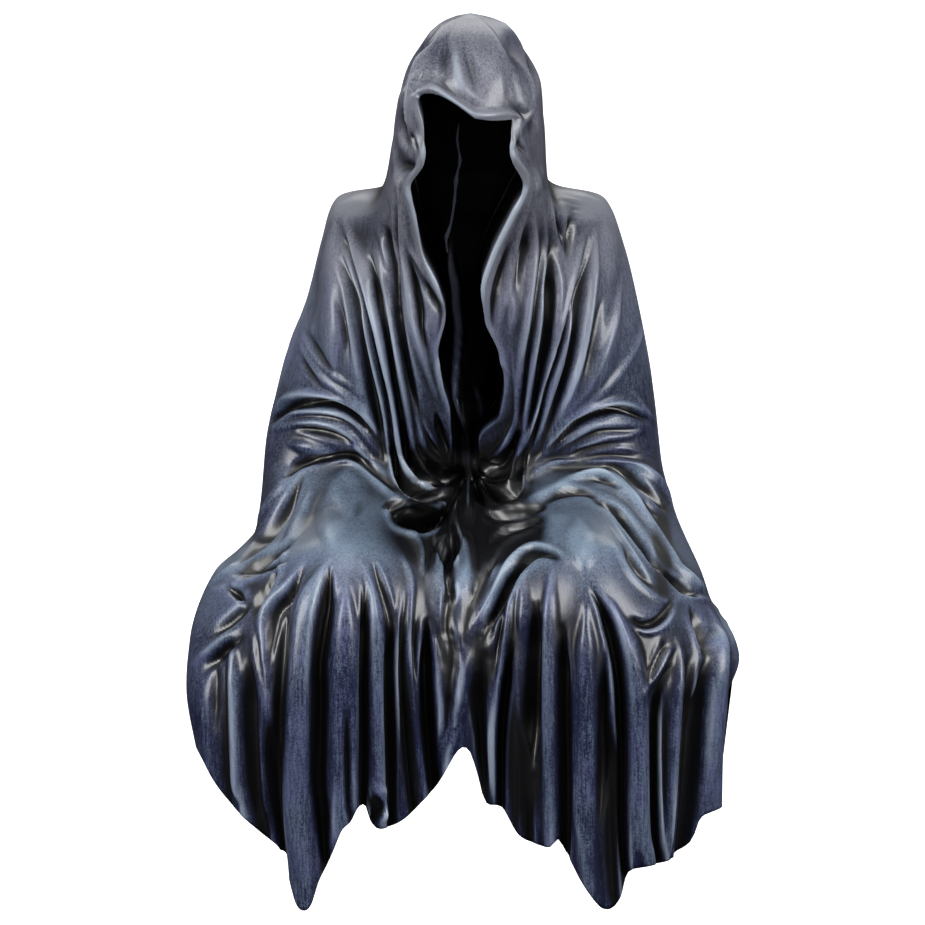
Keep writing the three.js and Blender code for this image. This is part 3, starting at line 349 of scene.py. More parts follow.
def smooth_line(points):
    """Catmull-Rom line: each stretch leaves a point along the chord between its two neighbours."""
    given = np.array(points, float)
    if len(given) < 3:
        return given
    padded = np.vstack([2 * given[0] - given[1], given, 2 * given[-1] - given[-2]])
    stretches = []
    for before, start, end, after in zip(padded, padded[1:], padded[2:], padded[3:]):
        count = max(2, math.ceil(np.hypot(*(end - start)) / LINE_STEP))
        t = (np.arange(count) / count)[:, None]
        bend = 2 * before - 5 * start + 4 * end - after
        swing = -before + 3 * start - 3 * end + after
        stretches.append(start + ((end - before) * t + bend * t**2 + swing * t**3) / 2)
    return np.vstack([*stretches, given[-1:]])


hem_a, hem_b = smooth_line(HEM_LINE).T
print("the hem is drawn with", len(HEM_LINE), "points, and its line has", len(hem_a))

# %% Where the skirt ends, and where it turns
# The hem is read by a, so a must rise all along it, if only by this much from point to point.
LEAST_RISE = 1e-6
CORNER_BETWEEN = (0.24, 0.345)
hem_a = np.maximum.accumulate(hem_a + LEAST_RISE * np.arange(len(hem_a)))


def hem_v(u, start):
    """v where the plain robe comes down to the hem as drawn."""
    def above_hem(v):
        a, b = on_drawing(plain_robe(u, v))
        return b > np.interp(a, hem_a, hem_b)

    return halve(above_hem, start, np.full_like(u, 1.0))


def ledge_turn(side):
    """u where the robe, at seat height, crosses the ledge's edge; side is 1 on the right, -1 on the left."""
    def before_ledge(turn):
        return plain_robe(turn * side, seat_v(turn * side))[..., 1] < LEDGE_Y

    near, far = (np.array([turn]) for turn in CORNER_BETWEEN)
    return halve(before_ledge, near, far)[0] * side


RIGHT_CORNER = ledge_turn(1)
LEFT_CORNER = ledge_turn(-1)
print("the skirt turns at u =", round(RIGHT_CORNER, 4), "and", round(LEFT_CORNER, 4))

# %% [markdown]
# ## The grid
# One grid of u and v carries the whole cloth. Its columns run down and lie close together at the lips,
# where the cloth turns sharply, and wide apart at the back, which is plain. Its rows go round, and are
# closest where the folds lie across them: over the sleeves, the lap and the knees. A finer grid all
# over would be simpler, but a piece is kept below 200,000 triangles.

# %% Columns and rows
half_mouth = np.concatenate([np.linspace(0, 0.66, 8), np.linspace(0.72, 1, 11)])
MOUTH_COLUMNS = np.concatenate([-half_mouth[:0:-1], half_mouth]) * LIP_TURN
SIDE_COLUMNS = 116
BACK_COLUMNS = 40
UPPER_ROWS = np.concatenate([
    [0, 0.01, 0.02, 0.03], np.linspace(0.04, 0.1, 12),
    [0.1035, 0.1065, 0.109, 0.1115, 0.114, 0.1165, 0.1185, BRIM_V, 0.1215, 0.1235],
    [0.127, 0.132, 0.138, 0.146, 0.156],
    np.linspace(0.164, 0.39, 58), np.linspace(0.3925, 0.64, 106),
])
KNEE_ROWS = 72
SKIRT_ROWS = 50

right_side = np.linspace(LIP_TURN, RIGHT_CORNER, SIDE_COLUMNS + 1)[1:]
left_side = np.linspace(LEFT_CORNER, -LIP_TURN, SIDE_COLUMNS + 1)[:-1]
front_turns = np.concatenate([left_side, MOUTH_COLUMNS, right_side])
back_turns = np.linspace(RIGHT_CORNER, 1 + LEFT_CORNER, BACK_COLUMNS + 2)[1:-1]
back_turns = np.where(back_turns > 0.5, back_turns - 1, back_turns)
turns = np.concatenate([front_turns, back_turns])
FRONT = len(front_turns)
ROUND = len(turns)

seat_at = seat_v(turns)
knee_share = np.arange(1, KNEE_ROWS + 1)[:, None] / KNEE_ROWS
knee_rows = UPPER_ROWS[-1] + (seat_at - UPPER_ROWS[-1]) * knee_share
hem_at = hem_v(front_turns, seat_at[:FRONT])
skirt_share = np.arange(1, SKIRT_ROWS + 1)[:, None] / SKIRT_ROWS
skirt_rows = seat_at[:FRONT] + (hem_at - seat_at[:FRONT]) * skirt_share

ring_v = np.concatenate([np.repeat(UPPER_ROWS[:, None], ROUND, 1), knee_rows])
RING = len(ring_v)
ring_u = np.repeat(turns[None], RING, 0)
skirt_u = np.repeat(front_turns[None], SKIRT_ROWS, 0)
print(RING, "rows of", ROUND, "columns above the seat, and", SKIRT_ROWS, "rows of", FRONT, "below it")

# %% Smooth cloth without folds
NO_LENGTH = 1e-9
ring = robe(ring_u, ring_v)
skirt = robe(skirt_u, skirt_rows)


def unit(vectors):
    """Each vector over its own length, and a nil vector as it is."""
    return vectors / np.maximum(np.linalg.norm(vectors, axis=-1, keepdims=True), NO_LENGTH)


def outward(points, closed):
    """Unit normals: the step down the rows crossed with the step along the columns."""
    along = np.roll(points, -1, 1) - np.roll(points, 1, 1) if closed else np.gradient(points, axis=1)
    return unit(np.cross(np.gradient(points, axis=0), along))


front_sheet = np.concatenate([ring[:, :FRONT], skirt])
front_normals = outward(front_sheet, closed=False)
ring_normals = outward(ring, closed=True)
ring_normals[0] = (0, 0, 1)
ring_normals[-2:, :FRONT] = front_normals[RING - 2:RING]
skirt_normals = front_normals[RING:]
print("smooth cloth:", ring.size // 3 + skirt.size // 3, "points")

# %% [markdown]
# ## How a fold is shaped
# A fold is a stroke on the drawing plane, with a height in millimetres, above nil for a ridge and below
# it for a valley. It reaches out to each side by its own distance, so one flank can be steep. Its
# section runs from a flat-topped pleat (crispness -1) over a soft bell (0) to a sharp crease (1), and
# it runs out to a point at both ends. It could be sculpted by hand in Blender, but then the work couldn't
# be repeated or changed by a number. A stroke is (height, reach to the left or below, reach to the
# right or above, crispness, points), drawn downwards or to the right, with its points joined by a
# smooth line.

# %% A stroke's height
END_FADE = 24
END_SHARE = 0.4
END_NARROW = 0.25
NARROWEST = 1.5


def stroke_height(a, b, stroke):
    """With d the distance to the line over the reach on that side, and k the size of the crispness, the
    height times (1-k)(1-d^2)^2 + k(1-d)^1.5 for a crease, or k(1-d^4)^2 in its place for a pleat. Over
    the fade at each end the height eases to nil and the reach to a quarter."""
    height, reach_left, reach_right, crispness, points = stroke
    reach_left = max(reach_left, NARROWEST)
    reach_right = max(reach_right, NARROWEST)
    widest = max(reach_left, reach_right)
    line = smooth_line(points)
    steps = np.diff(line, axis=0)
    lengths = np.hypot(steps[:, 0], steps[:, 1])
    run = np.concatenate([[0], np.cumsum(lengths)])
    low = line.min(0) - widest
    high = line.max(0) + widest
    near = (a > low[0]) & (a < high[0]) & (b > low[1]) & (b < high[1])
    near_a, near_b = a[near], b[near]
    nearest = np.full(len(near_a), np.inf)
    on_right = np.zeros(len(near_a), bool)
    along = np.zeros(len(near_a))
    for (start_a, start_b), (step_a, step_b), length, start in zip(line, steps, lengths, run):
        from_a, from_b = near_a - start_a, near_b - start_b
        t = np.clip((from_a * step_a + from_b * step_b) / length**2, 0, 1)
        off_a, off_b = from_a - t * step_a, from_b - t * step_b
        distance = off_a**2 + off_b**2
        closer = distance < nearest
        nearest = np.where(closer, distance, nearest)
        on_right = np.where(closer, step_a * off_b > step_b * off_a, on_right)
        along = np.where(closer, start + t * length, along)
    fade = min(END_FADE, END_SHARE * run[-1])
    ends = ease(along, 0, fade) * ease(run[-1] - along, 0, fade)
    reach = np.where(on_right, reach_right, reach_left) * (END_NARROW + (1 - END_NARROW) * ends)
    d = np.clip(np.sqrt(nearest) / np.maximum(reach, NARROWEST), 0, 1)
    edge = (1 - d) ** 1.5 if crispness > 0 else (1 - d**4) ** 2
    section = (1 - abs(crispness)) * (1 - d * d) ** 2 + abs(crispness) * edge
    result = np.zeros(a.shape)
    result[near] = height * section * np.sqrt(ends)
    return result


def strokes_height(a, b, strokes):
    """All the strokes' heights added up."""
    return sum(stroke_height(a, b, stroke) for stroke in strokes)


TRIAL = (2, 3, 3, 0, [(0, 40), (0, 0)])
trial_heights = stroke_height(np.array([0.0, 1.5]), np.array([20.0, 20.0]), TRIAL)
print("a 2 mm ridge that reaches 3 mm, on its line and 1.5 mm off:", trial_heights.round(2).tolist(), "mm")

# %% [markdown]
# ## Folds of the hood
# The hood is pulled forward over the hollow. Two dents lie on its front panel, thin ridges run down
# both sides from the crown, and the rim is a narrow roll. They are strokes, as above, because each one
# has its own place, and a repeated wave would look like corrugated card.

# %% Folds of the hood
HOOD_FOLDS = [
    (3.2, 2.2, 6, 0.3, [(-13.4, 260), (-21.9, 234.1), (-25, 223.4), (-25.4, 215.4), (-23.6, 205.6)]),
    (-4.4, 3.4, 2, 0.1, [(-15.2, 257.3), (-25.4, 230.5), (-28.1, 219.8), (-27.7, 210), (-25, 200.2)]),
    (3, 6, 2, 0.3, [(18.7, 260), (23.6, 245.7), (27.7, 220.7), (26.8, 213.6), (22.3, 207.3)]),
    (-3.6, 1.8, 3.2, 0.1, [(21.4, 255.5), (26.3, 243), (29.4, 230.5), (30.3, 218.9), (28.1, 206.5)]),
    (1.2, 2.5, 2.5, 0.2, [(22.3, 252.8), (32.1, 233.2), (33.9, 224.3), (33.9, 212.2)]),
    (-2.4, 3.2, 3.6, 0, [(-8.9, 250.2), (-9.8, 238.6), (-8.9, 229.6), (-6.2, 220.7)]),
    (-2.8, 3.4, 4, 0, [(-1.3, 248.4), (4, 229.6), (9.8, 219.8)]),
    (1.8, 3, 3, 0, [(-4.9, 248.4), (-4.5, 235.9), (-1.8, 223.4)]),
    (1.2, 6, 6, 0, [(9.8, 245.7), (13.4, 234.6), (16.9, 223.4)]),
    (1, 4, 5, 0, [(-18.7, 236.8), (-19.6, 227.9), (-16.9, 222.5)]),
    (2.4, 1.5, 1.8, 0.4, [(-25.4, 211.8), (-24.1, 219.8), (-20.5, 224.7), (-15.6, 226.5), (-10.3, 224.3),
        (0.4, 216.5), (6.7, 214.5), (18.7, 215.6), (22.7, 214.9), (24.1, 212.7), (19.6, 205.6)]),
    (1.6, 1.5, 1.5, 0.6, [(-13.4, 260), (-21.9, 235.9), (-25.4, 216.3), (-23.6, 204.7)]),
    (1.6, 1.5, 1.5, 0.6, [(19.2, 259.1), (24.1, 245.7), (28.1, 221.6), (27.2, 214.5), (22.7, 207.3)]),
    (-2.6, 2, 3, 0, [(-23.6, 227.9), (-16.9, 230.5), (-9.8, 227.9), (1.3, 219.8), (7.1, 218),
        (18.7, 218.9)]),
    (-1.3, 2.6, 3, 0, [(15.2, 218.9), (20.5, 218.5), (24.5, 215.8), (25.9, 211.4), (23.6, 205.6)]),
    (-2.2, 1.8, 1.8, 0.2, [(-24.5, 210.9), (-23.6, 204.7), (-20.5, 199.3)]),
    (1.6, 3, 3, 0, [(-28.5, 215.4), (-28.5, 206.5), (-26.8, 200.2), (-23.2, 197.5)]),
    (-2.2, 3, 2.4, 0.1, [(-28.5, 194.9), (-25, 192.6), (-21, 193.1)]),
    (1.4, 2.2, 2.2, 0.2, [(-31.2, 210), (-31.7, 198), (-30.8, 188.2), (-28.5, 177)]),
    (-1.6, 1.5, 1.5, 0.3, [(-33.5, 208.2), (-33.5, 196.2), (-33, 184.2)]),
    (-2, 1.8, 2, 0.2, [(21.9, 206), (24.1, 201.1), (27.7, 197.1)]),
    (1.2, 1.5, 1.5, 0.4, [(23.6, 205.1), (25.9, 199.8), (29, 194.4)]),
    (1.2, 2, 2, 0.2, [(35.2, 197.5), (33.5, 188.6), (29.9, 180.6)]),
    (-1.4, 1.5, 1.5, 0.2, [(37, 193.1), (34.8, 185), (31.7, 177.5)]),
]
print(len(HOOD_FOLDS), "folds of the hood")

# %% [markdown]
# ## Folds of the left chest
# Long folds hang from the shoulder to where the cloak closes, and crowd together there. Their valleys
# are deep and sharp and their ridges round, so most strokes here are valleys with a little crispness.

# %% Folds of the left chest
LEFT_CHEST_FOLDS = [
    (1.8, 1.8, 2.4, 0.4, [(-27, 218.3), (-22.7, 205.6), (-19.6, 200.2), (-20.5, 194.9), (-26.3, 183.3),
        (-23.6, 175.2), (-17.4, 150.3), (-8.5, 130.2), (-8, 122.6), (-10.3, 114.1), (-12.9, 104.8),
        (-11.2, 96.7), (-7.6, 86.9), (-6.2, 78.9), (-8, 61)]),
    (-2.9, 2.4, 2.4, 0, [(-25.2, 155.6), (-18.7, 141.3), (-14.3, 134.2), (-11.2, 127.1), (-13.3, 114.1)]),
    (1.6, 1.5, 1.5, 0.6, [(-28.1, 183.8), (-26.8, 167.2), (-24.5, 156.5), (-20.5, 146.7), (-16.1, 128.8),
        (-17.4, 121.7), (-15.1, 110.6)]),
    (-4.1, 2.2, 2.2, 0, [(-26.7, 155.9), (-21, 132.4), (-20.1, 122.6), (-17.6, 111.6)]),
    (2.9, 2.4, 2.6, 0.1, [(-29.7, 184.7), (-28.5, 163.2), (-25.9, 134.6), (-23.6, 122.6), (-12.7, 88.5)]),
    (1.4, 1.5, 1.5, 0.4, [(-32.3, 185.6), (-31.2, 158.7), (-27.7, 125.3), (-20.8, 93.6)]),
    (-1.9, 1.5, 1.5, 0.2, [(-30.6, 177.1), (-29.4, 154.3), (-27.3, 129.2)]),
    (-6, 3.5, 3, 0, [(-36, 169.4), (-33, 151.1), (-29.4, 119.9), (-20, 77.6)]),
    (2.6, 2, 2, 0.1, [(-37.5, 163), (-34.8, 151.1), (-31, 127.6)]),
    (1.8, 1.5, 1.5, 0.6, [(-40.9, 171), (-33.5, 148.5), (-29.4, 114.6), (-22.3, 86), (-15.2, 73.1),
        (-11.6, 67.7), (-6.2, 66), (2.4, 63.3)]),
    (1.7, 1.5, 1.5, 0.6, [(-41.1, 162.3), (-36.1, 137.8), (-33.5, 120.8), (-24.1, 73.5), (-21.4, 61.9),
        (-15.2, 54.8), (1.6, 44.9)]),
    (-2.6, 1.5, 1.5, 0.2, [(-35.5, 143.6), (-32.1, 120.8), (-21.3, 71.3)]),
    (-6.2, 3.2, 3, 0, [(-43.3, 156), (-29.4, 78.9), (-27.2, 64.6), (-20.4, 46.9)]),
    (3.8, 2.6, 2.6, 0.2, [(-55.8, 172.8), (-47.3, 149.4), (-38.8, 115.5), (-32.1, 81.6), (-30.3, 69.1),
        (-26.8, 57.5), (-23.2, 52.1), (-16.1, 49.9), (0.1, 49)]),
    (1.4, 1.5, 1.5, 0.5, [(-49.7, 164), (-43.7, 144.9), (-35.5, 111.5)]),
    (-5.5, 2, 2.2, 0, [(-54.5, 163.1), (-49.1, 144.9), (-38.8, 102.1), (-35.7, 87.8), (-32.1, 61.9),
        (-28.5, 51.2), (-20.5, 46.3), (-1.7, 46.3)]),
    (1.8, 1.5, 1.5, 0.6, [(-57.5, 171.2), (-55.3, 159.2), (-51.3, 148.5), (-48.2, 136.9), (-43.7, 111.9),
        (-37.5, 86), (-33, 56.6), (-29, 48.6), (-24.5, 44.6), (-17.4, 42.8), (-10.7, 43.7), (2.9, 49.4)]),
    (-6, 3.2, 4, 0, [(-55.1, 152.5), (-51.3, 136), (-47.3, 111.9), (-35.4, 57.9)]),
    (1.6, 1.5, 1.5, 0.5, [(-56.6, 151.6), (-51.3, 118.6), (-48.2, 97.2), (-45.1, 88.5)]),
    (-2.2, 1.5, 1.5, 0.2, [(-56.7, 137.7), (-54.4, 120.8), (-52.1, 105.7)]),
    (3.8, 10, 5, 0, [(-58.3, 174), (-58.9, 116.4), (-57.7, 97.1)]),
    (-1.7, 5, 4, 0, [(-67.3, 155), (-70, 134.2), (-71.9, 119.2)]),
]
print(len(LEFT_CHEST_FOLDS), "folds of the left chest")

# %% [markdown]
# ## Folds of the left sleeve
# The hidden forearm lifts the cloth into rolls across the sleeve. A roll is a pair: a ridge, and a
# groove close under it.

# %% Folds of the left sleeve
LEFT_SLEEVE_FOLDS = [
    (1.6, 1.5, 1.5, 0.5, [(-76.1, 123.3), (-65.1, 105.7), (-45.4, 91.3)]),
    (-2.2, 1.5, 1.8, 0.2, [(-74, 123.5), (-63.8, 107.9), (-56, 100.9)]),
    (2.2, 2.4, 2.4, 0.1, [(-77.1, 120), (-68.2, 103.4), (-50, 88.7), (-44.6, 82.5), (-37.9, 69)]),
    (-2.2, 2.4, 2.4, 0, [(-74.9, 110.9), (-70.5, 103), (-64.7, 96.7)]),
    (3.6, 2.6, 2.2, 0.2, [(-89.3, 81), (-83.4, 89.6), (-78.5, 91.8), (-70.9, 92.7), (-55.8, 89.2),
        (-43.7, 78.4), (-34.5, 60.6)]),
    (-7.8, 2.8, 3, 0, [(-90.4, 78.4), (-81.6, 85.6), (-75.4, 87.8), (-59.8, 87.6), (-47.3, 80.2),
        (-36.2, 64)]),
    (1.8, 1.5, 1.5, 0.5, [(-90.3, 76.2), (-81.2, 82), (-74.9, 83.8), (-60.2, 83.4), (-48.2, 76.2),
        (-35.2, 60.8)]),
    (-3.6, 1.5, 1.5, 0.2, [(-84.3, 81.1), (-73.1, 82.7), (-59.8, 81.3), (-53.5, 78.9), (-48.2, 74.4),
        (-40.6, 64.6)]),
    (2.6, 2.4, 2.2, 0.1, [(-91.9, 75.9), (-71.8, 80), (-63.3, 79.3), (-56.2, 76.7), (-50.4, 71.8),
        (-33.9, 49.9)]),
    (-4.3, 1.7, 1.7, 0.1, [(-77.7, 77.6), (-62.9, 74.9), (-49.2, 70.1)]),
    (1.6, 1.5, 1.5, 0.5, [(-79.5, 77.6), (-62.9, 71.1), (-48.2, 68.6), (-43.7, 62.8), (-36.3, 52.6)]),
    (2.4, 5, 4, 0, [(-81.4, 70.4), (-71.8, 69.1), (-65.1, 67.3), (-55.1, 66)]),
    (-4.1, 3, 1.5, 0.2, [(-54.4, 63.6), (-71.4, 61.5), (-76.7, 59.3), (-83.7, 52.3)]),
]
print(len(LEFT_SLEEVE_FOLDS), "folds of the left sleeve")

# %% [markdown]
# ## Folds of the left lap
# The cloth lies over the thigh and is pulled towards the hip. The folds are low on top and open at
# the outer side, where the knee pushes them apart.

# %% Folds of the left lap
LEFT_LAP_FOLDS = [
    (2.4, 2, 2.4, 0.3, [(-77.6, 53.9), (-74, 58.4), (-68.7, 61.1), (-58.9, 62.8), (-50.8, 61.5),
        (-38.4, 50.8), (-31.7, 45.9), (-19.6, 37), (-13.4, 35.2)]),
    (-4.3, 2.6, 1.5, 0.1, [(-75.8, 58.4), (-66.9, 63.5), (-57.1, 65.1), (-48.2, 63.7), (-41, 57.5),
        (-29.4, 46.3)]),
    (1.9, 1.5, 2, 0.5, [(-74, 61.1), (-84.7, 50.4), (-91, 41.4), (-100.8, 23.6), (-104.4, 18.2)]),
    (-6.7, 3.6, 4.6, 0, [(-73.1, 56.6), (-85.6, 35.2), (-97.2, 21.8), (-104.4, 15.6)]),
    (1.9, 3, 5, 0, [(-68.7, 51.2), (-77.6, 31.6), (-83, 23.6)]),
    (1.9, 1.5, 1.5, 0.5, [(-79.4, 36.1), (-99.5, 19.6), (-119.5, 4)]),
    (-6.7, 3.2, 3, 0, [(-77.6, 26.3), (-83.8, 22.3), (-105.3, 11.1)]),
    (1.4, 1.5, 1.5, 0.2, [(-84.7, 18.7), (-90.1, 16.9), (-96.3, 14.2)]),
    (-4.8, 2.8, 2.6, 0, [(-79.4, 18.2), (-94.6, 12.9), (-102.6, 9.8)]),
    (1.9, 1.5, 1.5, 0.5, [(-78.5, 17.3), (-101.7, 7.1), (-117.7, 4)]),
    (2.2, 1.6, 2.2, 0.5, [(-81.2, 23.6), (-84.7, 7.5), (-92.8, -6.3)]),
    (-3.6, 1.6, 1.8, 0.1, [(-83.4, 14.7), (-89.6, 2.2), (-93.7, -4.1)]),
    (-2.4, 3, 2.4, 0, [(-90.1, 6.6), (-92.8, -0.5), (-96.3, -8.5)]),
    (-6, 1.8, 1.8, 0.2, [(-107.9, 6.6), (-103.5, 3.5), (-98.1, -0.9)]),
    (2.2, 1.5, 1.6, 0.5, [(-96.3, 6.6), (-100.4, 0), (-116.9, -15.7)]),
    (-3.6, 2.8, 2, 0, [(-95.4, 0.4), (-100.4, -5.4), (-113.3, -16.5)]),
    (2.6, 2.8, 2.4, 0, [(-99, -9.4), (-119.5, -26.4), (-124, -31.7)]),
    (-3.6, 3.2, 3, 0, [(-98.1, -14.8), (-113.3, -27.3), (-118.6, -35.3)]),
    (-0.6, 2, 2, 0, [(-46.8, 45), (-49.5, 37)]),
    (1.7, 9, 12, 0, [(-59.3, 53.9), (-60.7, 31.6), (-59.3, 21.8)]),
    (2, 12, 12, 0, [(-53.5, 61.1), (-53.5, 49.5), (-52.2, 35.2)]),
]
print(len(LEFT_LAP_FOLDS), "folds of the left lap")

# %% [markdown]
# ## Folds of the left skirt
# Below the knee the cloth hangs free. Its pleats start as points at the edge of the knee, widen and
# run down to the torn hem.

# %% Folds of the left skirt
LEFT_SKIRT_FOLDS = [
    (1.2, 4, 4, 0, [(-116.4, -28.6), (-117.3, -44.2), (-113.2, -100.5)]),
    (-3.1, 2.2, 2.2, 0.1, [(-111.5, -21.9), (-112.4, -39.7), (-112.4, -59.8)]),
    (-2.2, 2.4, 1.8, 0, [(-107.5, -24.1), (-107.9, -57.6), (-105.3, -115.2)]),
    (3.8, 1.8, 3.2, -0.3, [(-103, -13), (-103.9, -21.9), (-103.5, -73.2), (-102.1, -86.6), (-99.9, -92.4),
        (-96.2, -123.2)]),
    (1.1, 1.5, 1.5, 0.4, [(-104.4, -14.8), (-105.7, -57.6), (-105.3, -73.2), (-99.7, -118.9)]),
    (-6.6, 5.8, 4.8, 0, [(-96.8, -24.1), (-96.8, -57.6), (-95.4, -87.9), (-93.2, -98.6),
        (-89.5, -129.4)]),
    (2, 1.5, 1.6, 0.5, [(-95, -8.5), (-94.6, -19.7), (-90.1, -44.2), (-88.3, -71.9)]),
    (-2.2, 1.5, 1.5, 0.2, [(-92.3, -13), (-91.9, -24.1), (-88.3, -46.4)]),
    (2.6, 2.2, 2.2, 0.2, [(-70.9, 20.1), (-78, 9.8), (-88.8, -2.7), (-91, -8.5), (-90.5, -19.7),
        (-90.1, -29.9), (-86.5, -55.8), (-85.6, -76.3)]),
    (-5.4, 5.2, 5.2, 0, [(-87.4, -51.3), (-87.4, -79.9), (-86.5, -97.7), (-81.6, -136.6)]),
    (-5.4, 3, 3.2, 0, [(-72.1, 16), (-78, 4), (-82.5, -1.4), (-85.6, -7.2), (-87, -17.4), (-87, -29.9)]),
    (4.6, 5.4, 6.4, -0.7, [(-60.8, 18.7), (-67.8, 4.9), (-70.9, -5), (-72.7, -17.4), (-74.9, -44.2),
        (-75.8, -79.9), (-75.4, -97.7), (-72.7, -126.3), (-71.5, -165)]),
    (1.2, 1.5, 2.4, 0.3, [(-61.6, 18.3), (-70.9, 4.9), (-74.5, -5), (-76.3, -17.4), (-78.9, -44.2),
        (-80.3, -97.7), (-73.5, -158.7)]),
    (-4.8, 4.2, 1.6, 0, [(-76.6, 9.3), (-80.3, -5), (-82.1, -29.9), (-83.4, -62), (-83.8, -95.5),
        (-79.3, -141.8)]),
    (1, 1.5, 2, 0.2, [(-58.9, 23.4), (-63.8, 9.3), (-69.1, -17.4), (-70.5, -57.6), (-70.5, -84.3),
        (-69.1, -102.2), (-66, -114.7), (-61.5, -152)]),
    (-7.2, 5.2, 4.8, 0, [(-60.7, 17.5), (-62, 0.4), (-65.1, -26.4), (-65.1, -44.2), (-65.6, -66.5),
        (-65.1, -88.8), (-58.1, -145.8)]),
    (1.9, 1.5, 1.5, 0.4, [(-66.5, -30.8), (-65.6, -84.3), (-61.5, -111.1), (-57.7, -142.7)]),
    (3.8, 6.4, 6.6, -0.8, [(-53.5, 10.4), (-54.4, -79.9), (-57.5, -108.4), (-60.5, -133.5)]),
    (1.1, 1.5, 2, 0.3, [(-58, -13), (-59.3, -44.2), (-59.3, -84.3), (-61.6, -139.8)]),
    (1.2, 2, 1.5, 0.3, [(-46.5, 7.7), (-48.6, -35.3), (-48.6, -57.6), (-51.2, -121)]),
    (-5.4, 1.5, 1.6, 0.3, [(-53.5, -44.2), (-53.5, -75.4), (-53.1, -91), (-51.7, -98.6),
        (-48.5, -125.2)]),
    (-6.6, 2, 1.9, 0, [(-44.5, 9.5), (-45.5, -35.3), (-45.5, -118.1)]),
    (3.8, 3.6, 4.8, -0.5, [(-45.3, 17.4), (-41.9, 0.4), (-40.1, -15.7), (-39.7, -39.7), (-37.8, -127.7)]),
    (1.1, 1.5, 2, 0.4, [(-45.7, 18.3), (-42.4, -17.4), (-42.4, -124)]),
    (1.6, 1.6, 1.6, 0.3, [(-40.3, 19.9), (-34.8, 4.9), (-32.1, -5)]),
    (-3.6, 1.7, 1.7, 0.1, [(-41.5, 18.1), (-36.1, 2.2), (-33.5, -11.2)]),
    (-6.6, 4.2, 3.5, 0, [(-33.5, -5.8), (-33.9, -44.2), (-32.1, -126.9)]),
    (1.9, 1.5, 1.5, 0.5, [(-26.6, 10.3), (-29.9, -5.8), (-30.8, -21.9), (-30.8, -66.5), (-31.8, -125.9)]),
    (-4.3, 1.8, 1.8, 0.1, [(-28.1, -5), (-28.1, -44.2), (-21, -120.7)]),
    (3.1, 1.8, 2.4, 0.1, [(-29.9, 22.3), (-25, 11.1), (-25.4, -1.4), (-25.9, -17.4), (-24.5, -35.3),
        (-23.6, -53.1), (-15.7, -116.2)]),
    (1.9, 1.5, 1.5, 0.5, [(-19.6, -5), (-21, -17.4), (-21, -53.1), (-13.7, -113.7)]),
    (-3.1, 1.5, 1.5, 0.2, [(-23.2, -8.5), (-23.2, -21.9), (-22.7, -39.7)]),
    (-7.8, 4.5, 4.8, 0, [(-17.4, -6.7), (-16.9, -53.1), (-11.6, -110.7)]),
    (3.6, 3.2, 2.6, 0, [(-14.7, -15.7), (-11.6, -44.2), (-10.3, -56.7), (-8.5, -64.7), (-4.1, -101.2)]),
    (2.6, 7, 7, 0, [(-12.8, 25.5), (-11.6, 4.9), (-11.2, -15.7)]),
    (2.9, 1.5, 5, 0.4, [(-5.8, 29.1), (-4, 7.1), (-6.2, -1.4), (-7.1, -9.4), (-6.2, -17.4), (-4, -23.7),
        (-4.5, -36.2), (-7.6, -59.4), (-7.6, -99.6)]),
    (-4.8, 2, 1.6, 0.2, [(-7.4, 23.7), (-6.7, 10.2), (-8.5, -8.5), (-4.9, -22.8), (-5.8, -35.3),
        (-8.9, -60.3), (-7.1, -71), (-3.8, -98.7)]),
    (3.4, 1.6, 1.8, 0.1, [(-43.7, -87.9), (-41, -84.3), (-37.5, -84.3), (-34.8, -87.5), (-34.8, -92.4),
        (-37, -96.8), (-40.1, -101.3), (-43.3, -127.7)]),
    (-7.2, 3, 3, 0, [(-41, -87.9), (-39.2, -90.6), (-39.2, -94.2), (-40.1, -96.8), (-43.8, -127.7)]),
]
print(len(LEFT_SKIRT_FOLDS), "folds of the left skirt")

# %% [markdown]
# ## Folds of the right chest
# This side has the deeper folds. They fall from the shoulder beside the lip and sweep in to the knot.

